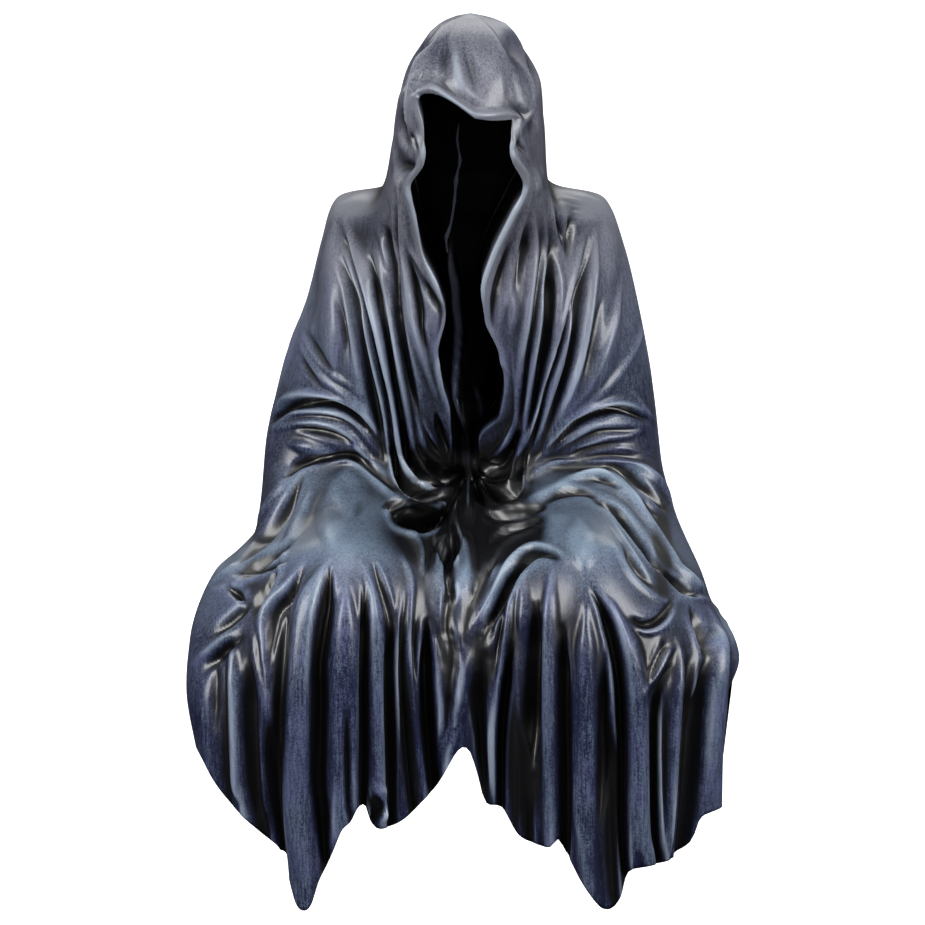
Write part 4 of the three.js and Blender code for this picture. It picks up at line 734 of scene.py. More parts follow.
# %% Folds of the right chest
RIGHT_CHEST_FOLDS = [
    (1.8, 2.4, 1.8, 0.4, [(28.5, 215.2), (22.7, 205.6), (20.1, 199.8), (23.6, 193.5), (27.2, 187.7),
        (25.4, 180.1), (11.2, 150.7), (7.1, 132), (11.6, 113.7), (21.6, 98.4)]),
    (2.2, 1.5, 2.2, 0.4, [(20.9, 113.3), (22.7, 89.6), (21.9, 80.2), (15.2, 67.3), (4.7, 60.6)]),
    (1.6, 1.5, 1.5, 0.6, [(28.9, 179), (23.6, 164.5), (22.3, 156.5), (21.9, 147.6), (15.2, 126.6),
        (13.7, 113.6)]),
    (-3.6, 1.8, 2.4, 0, [(27.9, 168.6), (23.6, 149.4), (21.7, 138.9)]),
    (-3.4, 2.4, 2.4, 0, [(19.5, 159.9), (12.5, 134.2), (11.2, 119.9)]),
    (1.9, 2.6, 3, 0, [(20.5, 140.3), (20.5, 128.8), (19.3, 117.4)]),
    (3.1, 2.4, 2.6, 0.1, [(29, 175.8), (30.3, 158.7), (27.7, 126.6), (24.1, 106.1), (23.4, 90)]),
    (-2.9, 1.6, 1.6, 0.1, [(33.5, 156.1), (30.3, 126.6), (27.7, 110.1), (24.5, 77)]),
    (2.4, 1.8, 1.8, 0.4, [(35.3, 174), (34.3, 130.6), (28.1, 91.8), (26.3, 80.2), (27.8, 68.1)]),
    (-7.2, 3.8, 4.8, 0, [(36.8, 158.8), (37.5, 127.5), (33.5, 102.1), (27.1, 73.5)]),
    (1.9, 2.6, 2.6, 0, [(40.1, 157.9), (41.9, 138.7), (37.6, 107)]),
    (1.9, 2.2, 2, 0.2, [(37.2, 185.6), (38.4, 169), (40.6, 160.1), (45.3, 149.1)]),
    (-1.8, 1.6, 1.6, 0, [(39.4, 183.5), (40.6, 170.8), (43.4, 157.3)]),
    (1.2, 1.8, 1.8, 0.2, [(47.2, 184.4), (45.5, 172.6), (43.3, 158.1)]),
    (-2.9, 2.2, 2.2, 0, [(49.1, 181.9), (46.8, 168.1), (44.5, 153.4)]),
    (1.8, 1.5, 1.5, 0.6, [(55.4, 166.7), (42.4, 119), (34.3, 92.3), (30.3, 78.4), (20.5, 60.2),
        (14.7, 55.7), (9.8, 57.5), (-1, 68.3)]),
    (-5.5, 1.9, 1.9, 0, [(55.5, 164.1), (45.5, 122.6), (25.7, 57.1)]),
    (1.8, 1.5, 1.5, 0.6, [(57.7, 166.7), (53.5, 153.4), (43.3, 111.9), (35.7, 87.4), (32.6, 76.2),
        (26.3, 58.4), (26.8, 52.1), (22.1, 38.3)]),
    (-6.5, 2.2, 3.8, 0, [(56, 156), (51.7, 136.4), (46.8, 106.5), (33.2, 65.3)]),
    (3.4, 2.6, 3, 0.1, [(58.3, 167.7), (57.1, 148.5), (53.5, 120.8), (50.4, 106.1), (45.5, 92.3),
        (40.6, 82.5), (34.4, 65.3)]),
    (-2.2, 4.5, 3, 0, [(61.9, 139.1), (56.2, 109.7), (51, 94.7)]),
    (1.8, 1.8, 1.5, 0.5, [(70.3, 148.1), (68.2, 132.9), (65.1, 119.9), (57.1, 98.1), (50.4, 89.2),
        (39.6, 79.6)]),
    (1.4, 5, 5, 0, [(68.7, 139.1), (64.2, 114.1), (58.6, 91.4)]),
    (1.9, 1.6, 1.8, 0.4, [(84.4, 139), (78.9, 119.9), (72.3, 106.5), (62.4, 94.1), (47.1, 80)]),
    (1.7, 1.5, 1.5, 0.4, [(73.3, 95.7), (78.9, 88.3), (84.7, 81.4)]),
    (1.4, 6, 6, 0, [(61.9, 172.6), (64.2, 156.5), (65.3, 139.5)]),
]
print(len(RIGHT_CHEST_FOLDS), "folds of the right chest")

# %% [markdown]
# ## Folds of the right sleeve
# As on the left, rolls lie across the sleeve over the forearm, here closer together.

# %% Folds of the right sleeve
RIGHT_SLEEVE_FOLDS = [
    (3.6, 2, 2.4, 0.3, [(30.6, 59.6), (38.8, 71.3), (46.4, 78.9), (54.4, 84.2), (62.4, 87.4),
        (70.9, 88.3), (78, 86), (86.9, 78.9)]),
    (-7.4, 3, 3.2, 0, [(36.6, 66.5), (46.8, 76.7), (54.9, 81.6), (62.9, 84.2), (70.5, 85.1),
        (82.3, 80.8)]),
    (1.7, 1.5, 1.5, 0.5, [(28.2, 60.9), (46.4, 70.9), (53.5, 75.8), (62, 78.4), (85.3, 78.9)]),
    (-3.1, 2, 1.8, 0, [(35.6, 62.9), (55.3, 73.1), (63.3, 75.8), (78.1, 76.4)]),
    (1.8, 1.5, 1.5, 0.4, [(31.1, 61.4), (44.2, 66.9), (62.4, 72.7), (73.1, 74), (84.4, 78.6)]),
    (-4.6, 1.5, 1.5, 0.2, [(45.5, 63.5), (54.4, 67.1), (70.6, 71)]),
    (1.9, 1.5, 1.5, 0.5, [(35.3, 61), (58.4, 67.3), (66.5, 68.6), (81.3, 66.6)]),
    (-2.2, 1.8, 1.8, 0, [(37.8, 58.4), (60.7, 64.2), (76.6, 63.5)]),
    (2.9, 2.4, 2.4, 0.2, [(26, 54.1), (36.6, 60.2), (47.3, 61.9), (69.1, 62.4), (83.8, 56.6),
        (92.3, 45.4), (96.9, 34.2)]),
    (-5, 2.6, 2.8, 0, [(62.4, 61.4), (72.7, 56.6), (83.8, 47.7), (90.9, 39.2)]),
    (2.6, 1.8, 2, 0.2, [(38.2, 49.8), (51.7, 55.3), (66.5, 55.3), (74.9, 46.8), (79.6, 35.9)]),
    (-3.1, 1.6, 1.6, 0.1, [(56.9, 54.3), (63.8, 52.6), (69.5, 48.6)]),
    (1.6, 1.5, 1.5, 0.4, [(55.9, 52.1), (64.2, 50.8), (75.9, 42.5)]),
    (-1.9, 1.6, 1.6, 0.1, [(78.9, 46), (83, 41.4), (86.4, 36.9)]),
]
print(len(RIGHT_SLEEVE_FOLDS), "folds of the right sleeve")

# %% [markdown]
# ## Folds of the right lap
# A long curl of cloth turns round the inner side of the knee, and small folds star out from its top.

# %% Folds of the right lap
RIGHT_LAP_FOLDS = [
    (3.6, 3, 2.2, 0.3, [(40.1, 51.2), (48.2, 54.8), (57.1, 56.2), (64.7, 53.9), (72.3, 48.1),
        (78.5, 40.5), (95.4, 14.7), (107, 4.9)]),
    (-7.7, 3.4, 2.4, 0, [(56.2, 45), (63.3, 43.2), (69.6, 38.8), (79.8, 25.4), (83.4, 18.2), (88.3, 12)]),
    (1.7, 3, 3.4, 0, [(25.9, 41.4), (35.2, 47.7), (44.6, 50.8), (54.4, 50.4)]),
    (-3.6, 2, 2.2, 0, [(33, 42.3), (41.9, 47.7), (52.6, 48.6), (60.7, 45)]),
    (2.2, 1.5, 1.5, 0.6, [(64.2, 37.9), (73.1, 22.7), (83, 8.4), (86.5, 5.8)]),
    (2.2, 1.5, 1.5, 0.6, [(65.1, 27.2), (73.1, 12), (84.7, 1.3), (91.9, -0.5), (97.2, 1.3)]),
    (-3.1, 2.4, 2.2, 0, [(69.6, 27.2), (74, 18.2), (79.4, 10.7), (85.6, 4.9)]),
    (-7.8, 2.6, 2.4, 0.1, [(88.3, 12.9), (94.6, 8.4), (99, 4.4), (104.4, 1.3)]),
    (2.2, 2.4, 2.4, 0.1, [(95.4, 14.7), (101.2, 8.9), (109.7, 2.2)]),
    (1.8, 1.5, 1.6, 0.5, [(91.9, 0.4), (97.2, 1.7), (109.3, -0.5), (113.3, -5.8)]),
    (2.4, 1.5, 1.6, 0.5, [(72.3, -9.4), (78.9, -13.4), (85.6, -12.5), (91, -7.6), (94.1, 0.4)]),
    (-6.5, 1.6, 2.8, 0.1, [(72.7, -7.2), (78.9, -10.8), (85.2, -9.4), (89.6, -5), (92.3, 1.3)]),
    (3.2, 1.8, 1.7, 0.3, [(47.3, 15.6), (41.9, 21.4), (36.1, 24), (29.4, 24.5), (22.7, 20.5),
        (16.9, 13.3), (7.6, -4.5), (-3.6, -22.8)]),
    (-9.6, 2.8, 4, 0, [(42.8, 18.2), (36.6, 20.9), (30.8, 21.6), (25, 18.2), (20.1, 12.4), (16.5, 4.9),
        (7.1, -21)]),
    (2.2, 1.5, 1.5, 0.5, [(29.4, 20), (22.3, 12.9), (17.8, 4), (11.2, -28.1)]),
    (2.6, 2.5, 3, 0.1, [(-3.6, -21.9), (-4.5, -39.7), (-4, -49.6), (-1.3, -60.3)]),
    (-3.4, 2, 2, 0, [(15.2, 21.8), (5.4, 4.9), (2.7, -4.1)]),
    (1.6, 1.5, 1.5, 0.4, [(13.8, 17.3), (8.9, 10.2), (4.5, 3.1)]),
    (2.2, 9, 9, 0, [(50, 37.9), (51.7, 24.9), (53.1, 12)]),
    (1.6, 11, 11, 0, [(36.6, 39.6), (41.9, 32.5), (47.3, 21.8)]),
    (1.2, 1.6, 1.6, 0.3, [(5.4, 42.3), (10.7, 39.6), (16.9, 40.1), (31.2, 45.9), (40.1, 48.6)]),
]
print(len(RIGHT_LAP_FOLDS), "folds of the right lap")

# %% [markdown]
# ## Folds of the right skirt
# The right skirt has wide, deep pleats in its middle and a stiff folded tail at the outer side.

# %% Folds of the right skirt
RIGHT_SKIRT_FOLDS = [
    (1.9, 1.5, 2.2, 0.4, [(-3.1, -1.4), (-3.1, -11.2), (-6.2, -33.5), (-6.7, -46), (-5.8, -54),
        (-2.7, -61.1), (1.1, -92.7)]),
    (2.9, 3, 4.2, 0, [(2.7, -12.1), (-1.3, -35.3), (-1.3, -46), (0.9, -56.7)]),
    (-7.2, 3.2, 3.8, 0, [(8.9, -21), (6.2, -35.3), (5.4, -48.7), (8, -77.7), (11.4, -114)]),
    (3.4, 1.8, 2.6, 0.2, [(27.3, 16.1), (21, 2.2), (18.7, -7.6), (11.2, -62), (8.9, -117.5)]),
    (-3.6, 1.6, 1.6, 0.1, [(25.7, 19.6), (18.7, 5.8), (16.1, -5), (12.5, -28.1)]),
    (1.9, 3.6, 4, 0, [(25.6, 13), (25, -5), (24.1, -17.4)]),
    (-7.4, 4.2, 3, 0, [(20.1, -17.4), (15.6, -62), (15.6, -118.9)]),
    (1.6, 2.2, 2.2, 0, [(23.6, -21.9), (23.2, -44.2), (24.5, -88.8), (24.5, -131.7)]),
    (-7.7, 5, 4.2, 0, [(31.2, 1.3), (29.9, -35.3), (29.9, -75.4)]),
    (1.9, 2.4, 2.2, 0, [(31.2, -79.9), (32.1, -105.7), (33.1, -135.4)]),
    (-2.9, 1.5, 1.5, 0.2, [(27.7, -88.8), (28.5, -104.9), (29.9, -134)]),
    (3.6, 3.2, 3.4, -0.5, [(38.1, 16.6), (37, -21.9), (37.5, -88.8), (39.8, -135.8)]),
    (1.3, 1.5, 1.8, 0.4, [(36.9, 14.8), (34.8, -26.4), (35.2, -71), (34.8, -88.8), (38.5, -136.4)]),
    (0.8, 1.6, 1.5, 0.3, [(40.1, -4.1), (39.7, -53.1), (40.1, -79.9), (39.3, -134.4)]),
    (-7.2, 3.8, 3.5, 0, [(42.8, -9.4), (44.2, -88.8), (42.4, -137.1)]),
    (1.7, 1.5, 1.5, 0.4, [(42.4, -26.4), (44.6, -66.5), (44.2, -88.8), (40.8, -136.5)]),
    (3.8, 5.2, 5.4, -0.8, [(53.1, 0.4), (53.5, -57.6), (53.1, -97.7), (56.7, -155.7)]),
    (1.3, 1.5, 2, 0.4, [(44.6, -13), (48.2, -39.7), (48.6, -79.9), (49.5, -97.7), (52.6, -112),
        (57.6, -153.7)]),
    (0.8, 2, 1.5, 0.3, [(60.2, -17.4), (58.4, -62), (57.1, -108.9)]),
    (-7.8, 3.2, 3, 0, [(54.5, 7.9), (61.5, -5), (67.3, -28.6), (69.6, -62), (70.5, -104.9),
        (75.1, -152.1)]),
    (-5, 3.4, 3.4, 0, [(61.5, -21.9), (60.7, -84.3), (59.8, -102.2)]),
    (-4.3, 4.6, 4.6, 0, [(64.2, -49.6), (65.6, -111.1), (69.9, -163.2)]),
    (4.3, 4.4, 6, -0.5, [(63.3, 0.4), (69.6, -13), (74, -26.4), (76.3, -44.2), (77.2, -62), (78, -102.2),
        (80.3, -116.5), (83.8, -145.6)]),
    (1.7, 1.5, 2.4, 0.4, [(52, 9.4), (61.5, 1.3), (66, -5.8), (71.4, -28.1), (73.6, -62),
        (73.6, -147.8)]),
    (-4.3, 1.5, 1.5, 0.2, [(77.2, -109.3), (78.9, -119.1), (82.1, -146.1)]),
    (3.6, 1.8, 1.8, 0.3, [(94.1, -19.7), (90.1, -22.3), (82.1, -35.7), (77.2, -42.9)]),
    (1.7, 1.5, 1.5, 0.5, [(87.4, -13), (82.5, -28.1), (78.5, -38.8)]),
    (-3.4, 1.5, 1.5, 0.1, [(88.8, -18.3), (84.7, -26.8), (80.7, -35.7)]),
    (-7.2, 3.2, 2.8, 0, [(91.4, -28.1), (87.9, -35.3), (85.2, -46), (84.3, -62), (85.2, -102.2),
        (87.4, -115.6), (90.8, -143.9)]),
    (1.7, 1.5, 1.5, 0.4, [(87, -39.7), (86.5, -57.6), (87.9, -97.7), (92.5, -143.3)]),
    (-3.1, 1.5, 1.5, 0.1, [(88.8, -39.7), (89.2, -84.3), (93.2, -143.2)]),
    (3.4, 2.8, 3.4, -0.3, [(94.1, -14.8), (95.4, -22.8), (94.6, -35.3), (92.8, -66.5), (90.9, -142.4)]),
    (-4.8, 2.2, 1.8, 0, [(99.5, -24.1), (98.6, -44.2), (95, -88.8), (91.9, -141)]),
    (2, 1.5, 1.5, 0.5, [(95, -5), (99, -10.3), (102.1, -16.5), (103.9, -24.1), (103, -29.9),
        (101.7, -44.2)]),
    (-4.1, 4.4, 4.4, 0, [(100.8, -36.2), (99.9, -66.5), (95, -138.7)]),
    (-7.8, 4.5, 3.8, 0, [(106.1, -26.4), (103, -79.9), (98.1, -134)]),
    (-4.8, 3.4, 3.4, 0, [(99.9, -2.3), (103.5, -9.4), (105.7, -17.4), (106.6, -25.5)]),
    (4.1, 4.6, 6, -0.6, [(107.5, -2.3), (111.5, -10.3), (112.8, -21.9), (110.6, -75.4), (113, -120.9)]),
    (1.2, 1.5, 2.2, 0.3, [(108.8, -35.3), (106.6, -71), (106.6, -123.5)]),
    (1.3, 2.4, 2.6, 0, [(107, -8.5), (111.9, -15.7), (113.7, -24.1), (113.3, -40.6)]),
]
print(len(RIGHT_SKIRT_FOLDS), "folds of the right skirt")

# %% [markdown]
# ## Folds at the closing
# Where the cloak closes, the cloth is gathered into a small tangle between the knees.

# %% Folds at the closing
KNOT_FOLDS = [
    (2.1, 1.5, 1.5, 0.5, [(-36.6, 80.7), (-32.6, 57), (-29.4, 49.5), (-24.5, 44.6), (-17.4, 42.8),
        (-10.7, 43.7), (-1.8, 48.1)]),
    (-7.5, 2.6, 1.8, 0, [(-33.9, 68.2), (-30.3, 56.6), (-26.3, 50.4), (-20.5, 46.8), (-14.3, 45.9),
        (-6.2, 46.8)]),
    (3.3, 2.2, 2.2, 0.2, [(-32.6, 78.9), (-29.9, 67.3), (-26.3, 57.9), (-21.4, 52.1), (-16.1, 49.5),
        (-6.2, 47.2)]),
    (-6, 2, 2, 0, [(-29, 78), (-26.3, 65.1), (-22.3, 56.6), (-16.9, 52.1), (-8, 48.6)]),
    (2, 1.5, 1.5, 0.6, [(-25.9, 80.7), (-23.6, 69.1), (-20.5, 61.5), (-11.2, 52.1), (-1.8, 46.8)]),
    (4.8, 2.6, 3.4, 0.1, [(-23.2, 86), (-20.1, 71.8), (-16.9, 66), (-11.6, 62.8), (-6.2, 62.4),
        (0, 66.4)]),
    (-8.2, 2.4, 4, 0, [(-18.7, 61.9), (-11.6, 55.7), (-6.2, 54.4), (0, 57.5)]),
    (2, 1.5, 1.5, 0.6, [(-19.6, 81.6), (-12.9, 68.2), (-2.7, 65.5)]),
    (-4.5, 2.6, 2.6, 0, [(-13.8, 84.2), (-11.2, 74.4), (-8, 68.2)]),
    (2.2, 1.5, 1.5, 0.6, [(2.2, 64.6), (5.8, 53), (8.9, 46.8), (13.8, 43.2), (20.1, 43.2), (24.5, 46.3),
        (26.8, 51.7), (26.3, 58.4), (28.5, 66.4), (33.5, 78.9)]),
    (-7.5, 2.2, 1.8, 0, [(5.4, 56.6), (9.4, 49), (13.8, 45.9), (19.2, 46.3), (23.2, 50.4), (27.2, 68.2)]),
    (3.3, 2, 2.2, 0.2, [(3.1, 61.1), (8.5, 52.6), (12.9, 49.9), (17.8, 50.8), (21.4, 54.8),
        (25.9, 73.5)]),
    (2.2, 1.5, 1.5, 0.6, [(1.8, 63.7), (8.5, 57.9), (12.5, 55.3), (15.6, 56.6), (24.1, 68.6),
        (28.1, 79.8)]),
    (-7.5, 2.4, 2, 0, [(6.2, 62.8), (12.5, 58.8), (16.5, 61.9), (20.5, 68.2), (24.1, 76.2)]),
    (3, 2, 2, 0.3, [(2.7, 62.8), (11.6, 64.6), (16.5, 68.6), (24.5, 82.5)]),
    (2.4, 1.5, 1.5, 0.5, [(2.7, 46.8), (9.4, 40.5), (13.8, 39.6), (27.7, 44.1)]),
    (-6.3, 1.8, 2.6, 0, [(5.4, 40.5), (12.5, 37.4), (26.8, 39.6), (36.6, 42.8)]),
    (2, 1.5, 1.5, 0.5, [(5.4, 42.3), (9.4, 37), (16.1, 35.2)]),
    (-5.2, 2.4, 2.4, 0, [(9.8, 25.8), (17.8, 31.2), (34.8, 37)]),
    (2.2, 1.5, 1.5, 0.5, [(13.4, 20.9), (19.6, 28.1), (33.5, 34.3)]),
    (2.7, 1.6, 3, 0.4, [(3.1, 58.4), (-0.4, 49.5), (-4, 45.4), (-5.8, 41.4), (-5.4, 35.2), (-2.2, 23.6),
        (-6.7, 13.8), (-6.7, 9.3), (-4.5, 3.1), (-3.1, -5), (-3.1, -17.4)]),
    (-5.4, 1.9, 1.5, 0.1, [(0.9, 53.9), (-4.9, 46.8), (-7.1, 41.9), (-6.7, 34.3), (-4.9, 28.1),
        (-4.9, 22.7), (-7.6, 17.3), (-8.5, 12), (-7.6, 6.6), (-5.4, 0.4), (-4, -13.9)]),
    (-5.4, 3, 3, 0, [(-8.5, 33.4), (-5.8, 27.2), (-5.8, 20.9), (-8.9, 14.7)]),
    (-4.5, 2.4, 2.4, 0, [(3.1, 55.7), (5.4, 47.7), (8.5, 40.5)]),
    (4.8, 3, 3.2, 0.1, [(2.2, 59.3), (0.9, 49.5), (0.9, 31.6)]),
    (3.6, 4, 4, 0, [(0.4, 32.5), (0.4, 18.2), (0, -4.1)]),
    (-11.2, 4.4, 3.4, 0, [(-34.8, 44.1), (-29.4, 37.9), (-23.2, 34.7), (-16.9, 34.7), (-11.6, 37.9),
        (-5.4, 45)]),
    (-6, 3, 3, 0, [(-31.2, 39.6), (-24.1, 36.1), (-16.1, 36.1), (-8.9, 41.4)]),
    (2.1, 1.5, 1.5, 0.5, [(-37.5, 45), (-34.8, 37), (-30.3, 31.6), (-16.1, 28.1)]),
    (2.1, 1.5, 1.5, 0.5, [(-21.4, 27.2), (-13.4, 32.5), (-4.5, 44.1)]),
    (-6, 1.7, 1.5, 0, [(-37.5, 41.9), (-32.1, 43.2), (-26.8, 41.4)]),
    (2.7, 2.8, 2.8, 0.1, [(-30.3, 34.3), (-23.2, 27.2), (-20.5, 21.8), (-19.2, 11.1)]),
    (-3.6, 3, 3, 0, [(-16.1, 29.8), (-11.6, 21.8), (-8, 12.9)]),
    (1.8, 1.6, 1.6, 0.3, [(-5.8, 32.5), (-11.2, 26.7), (-12.9, 21.8), (-13.8, 12.9)]),
]
print(len(KNOT_FOLDS), "folds at the closing")

# %% [markdown]
# ## Streaks in the hollow
# The inside of the hood is only roughly finished: a broken ridge runs down its middle.

# %% Streaks in the hollow
HOLLOW_STREAKS = [
    (5.2, 3.2, 3.2, 0, [(-7.6, 167.2), (-6.7, 151.1), (-4.9, 141.3), (-4.5, 131.5), (-3.6, 120.8),
        (-4.9, 98.5), (-4, 87.4), (0, 74)]),
    (2.4, 3, 3, 0, [(1.8, 99.4), (6.2, 89.6), (7.1, 77.1)]),
]
print(len(HOLLOW_STREAKS), "streaks in the hollow")

# %% [markdown]
# ## From strokes to cloth
# The strokes stand for what shows from the front, so they count only where the cloth faces that way.
# Past the sides the folds are plain waves, as such a back is modelled with far less care. The heights
# are blurred once by a point's neighbours, since a fold that crosses a grid at a slant would
# otherwise show the grid's steps. A Displace modifier could push the cloth out, but its texture would
# need an image or a UV map, and here the height is already known at every point.

# %% All the strokes, and a blur
OUTSIDE_STROKES = (
    HOOD_FOLDS + LEFT_CHEST_FOLDS + LEFT_SLEEVE_FOLDS + LEFT_LAP_FOLDS + LEFT_SKIRT_FOLDS
    + RIGHT_CHEST_FOLDS + RIGHT_SLEEVE_FOLDS + RIGHT_LAP_FOLDS + RIGHT_SKIRT_FOLDS + KNOT_FOLDS
)
TO_VIEWER = np.array([0, -UP_SHARE, DEPTH_SHARE])


def blur(field, times):
    """Each value becomes (one before + 2 itself + one after) / 4, round the ring and then down the rows."""
    for _ in range(times):
        field = (np.roll(field, 1, 1) + 2 * field + np.roll(field, -1, 1)) / 4
        rows = np.concatenate([field[:1], field, field[-1:]])
        field = (rows[:-2] + 2 * rows[1:-1] + rows[2:]) / 4
    return field


print(len(OUTSIDE_STROKES), "strokes outside the hollow")

# %% Waves on the back
# A wave is (height in mm, waves from flank to middle, waves it drifts by down the robe, shift to each side).
CLOAK_WAVES = [(1.38, 3.2, 0.35, 0.1), (0.92, 5.3, -0.5, 0.3)]
HOOD_WAVES = [(0.9, 2.5, 0, 0.2)]
FLANK = 0.3
FLANK_TO_MIDDLE = 0.2
WAVES_START = (FLANK, 0.36)
CLOAK_START = (0.34, 0.62)
HOOD_START = (0.13, 0.2)
HOOD_END = (0.24, 0.3)


def waves(u, v, table):
    """Height times the cosine of a full turn for each wave, added up."""
    place = (np.abs(u) - FLANK) / FLANK_TO_MIDDLE
    return sum(
        height * np.cos(2 * np.pi * (count * place + drift * v + shift * np.sign(u)))
        for height, count, drift, shift in table
    )


def back_waves(u, v):
    """The cloak's waves below the shoulders and a low one behind the hood, each eased in and out."""
    cloak = waves(u, v, CLOAK_WAVES) * ease(v, *CLOAK_START)
    hood = waves(u, v, HOOD_WAVES) * ease(v, *HOOD_START) * (1 - ease(v, *HOOD_END))
    return ease(np.abs(u), *WAVES_START) * (cloak + hood)


back = back_waves(np.linspace(FLANK, 0.5, 50), np.full(50, 0.8))
print("the back's waves go from", round(back.min(), 1), "to", round(back.max(), 1), "mm")

# %% Folds where they belong
LIP_FADE = (0.9, 1)
FRONT_FADE = (0.31, 0.34)
FACING_FADE = (0.06, 0.42)
HOLLOW_FACING_FADE = (0.1, 0.5)


def front_share(u):
    """1 on the front and the sides, 0 on the back."""
    return 1 - ease(np.abs(u), *FRONT_FADE)


def fold_height(points, normals, u, v):
    """The outside strokes where the cloth faces the viewer, the hollow's own between the lips."""
    a, b = on_drawing(points)
    facing = (normals * TO_VIEWER).sum(-1)
    in_hollow = np.where((v > BRIM_V) & (v < CLOSED_V), 1 - ease(lip_place(u), *LIP_FADE), 0)
    seen = ease(facing, *FACING_FADE) * front_share(u)
    outside = strokes_height(a, b, OUTSIDE_STROKES) * seen * (1 - in_hollow)
    inside = strokes_height(a, b, HOLLOW_STREAKS) * ease(facing, *HOLLOW_FACING_FADE) * in_hollow
    return outside + inside + back_waves(u, v)


ring_height = fold_height(ring, ring_normals, ring_u, ring_v)
ring_height[0] = 0
skirt_height = fold_height(skirt, skirt_normals, skirt_u, skirt_rows)

below_seat = np.repeat(ring_height[-1:], SKIRT_ROWS, 0)
below_seat[:, :FRONT] = skirt_height
height = blur(np.concatenate([ring_height, below_seat]), 1)
print("folds stand from", round(height.min(), 1), "to", round(height.max(), 1), "mm off the plain robe")

# %% Push the cloth out
SEAT_CALM = 8
ring_height = height[:RING]
skirt_height = height[RING:, :FRONT]
push = ring_normals * ring_height[..., None]
behind_ledge = np.arange(ROUND) >= FRONT
at_corner = np.isin(np.arange(ROUND), (0, FRONT - 1))
on_seat = behind_ledge | at_corner
push[..., 2] *= np.where(on_seat, np.clip(ring[..., 2] / SEAT_CALM, 0, 1), 1)
ring_cloth = ring + push
ring_cloth[-1, :, 2] = np.where(on_seat, 0, ring_cloth[-1, :, 2])
skirt_cloth = skirt + skirt_normals * skirt_height[..., None]
leftmost, rightmost = ring_cloth[..., 0].min(), ring_cloth[..., 0].max()
print("the cloth now reaches from x =", round(leftmost, 1), "to", round(rightmost, 1))

# %% [markdown]
# A fold that is pushed out of the slanted cloth also moves the hem up or down as one sees it, and would
# blunt the torn points. So the skirt is let down or taken up again by what its hem is off, nothing at
# the seat and all of it at the hem.

# %% Keep the hem as drawn
MOST_LET_DOWN = 6
now_a, now_b = on_drawing(skirt_cloth[-1])
drawn_b = np.interp(now_a, hem_a, hem_b)
let_down = np.clip((drawn_b - now_b) / UP_SHARE, -MOST_LET_DOWN, MOST_LET_DOWN)
skirt_cloth[..., 2] += let_down * skirt_share**2
print("the hem was off by", round(float(np.abs(let_down).mean()), 2), "mm in the mean")

# %% [markdown]
# ## Meet the ledge
# At the two corners the skirt's side edges lie in the flat back of the skirt, so the cloth near them
# is eased on to that plane. In front of the corners no cloth may pass behind it, and the ring at
# seat height stays behind it at the back.

# %% Ease the corners on to the flat back
CORNER_REACH = 0.010
CORNER_ROWS = 0.04 * RING
RIGHT_FLANK = 114.5
EDGE_SLOPE = 120
BEHIND_EDGE = 1
from_corner = np.minimum(np.abs(front_turns - front_turns[0]), np.abs(front_turns - front_turns[-1]))
rows_up = np.arange(RING)[::-1]
for corner in (0, FRONT - 1):
    near = np.exp(-(((front_turns - front_turns[corner]) / CORNER_REACH) ** 2))
    off = LEDGE_Y - ring_cloth[-1, corner, 1]
    ring_cloth[:, corner, 1] += off * np.exp(-((rows_up / CORNER_ROWS) ** 2))
    others = np.arange(FRONT) != corner
    ring_cloth[-1, :FRONT, 1] += np.where(others, off * near, 0)
    skirt_cloth[..., 1] += (LEDGE_Y - skirt_cloth[:, corner, 1])[:, None] * near
skirt_cloth[:, -1, 0] = np.minimum(skirt_cloth[:, -1, 0], RIGHT_FLANK)
furthest_back = LEDGE_Y - from_corner * EDGE_SLOPE
skirt_cloth[..., 1] = np.minimum(skirt_cloth[..., 1], furthest_back)
ring_cloth[-1, :FRONT, 1] = np.minimum(ring_cloth[-1, :FRONT, 1], furthest_back)
ring_cloth[-1, FRONT:, 1] = np.maximum(ring_cloth[-1, FRONT:, 1], LEDGE_Y + BEHIND_EDGE)
print("skirt corners at x =", round(ring_cloth[-1, 0, 0], 1), "and", round(ring_cloth[-1, FRONT - 1, 0], 1))

# %% [markdown]
# ## The hem's thickness and the hidden sides
# The hem is a thin rounded edge that turns in underneath. Behind it the casting is let in and rises
# to the flat back, whose foot is plain. The seat is a flat fan round the middle. These sides
# are not seen from the front, but they close the mesh.

# %% Underside of the hem
HEM_THICKNESS = 3.0
LET_IN = 4.0
LET_IN_RISE = 7.0
EDGE_RISE = 0.6
FOOT_LIP = 4.0
TAPER_REACH = 0.03
EVEN_SHARE = 0.4
hem_line = skirt_cloth[-1]
level = unit(front_normals[-1] * (1, 1, 0))
taper = ease(from_corner, 0, TAPER_REACH)[:, None]
step_x = np.abs(np.diff(hem_line[:, 0]))
passed = np.concatenate([[0], np.cumsum(step_x + EVEN_SHARE * step_x.mean())])
passed = passed / passed[-1]


def spread(left, right):
    """x from left to right by the share of the hem that has been passed."""
    return left + (right - left) * passed


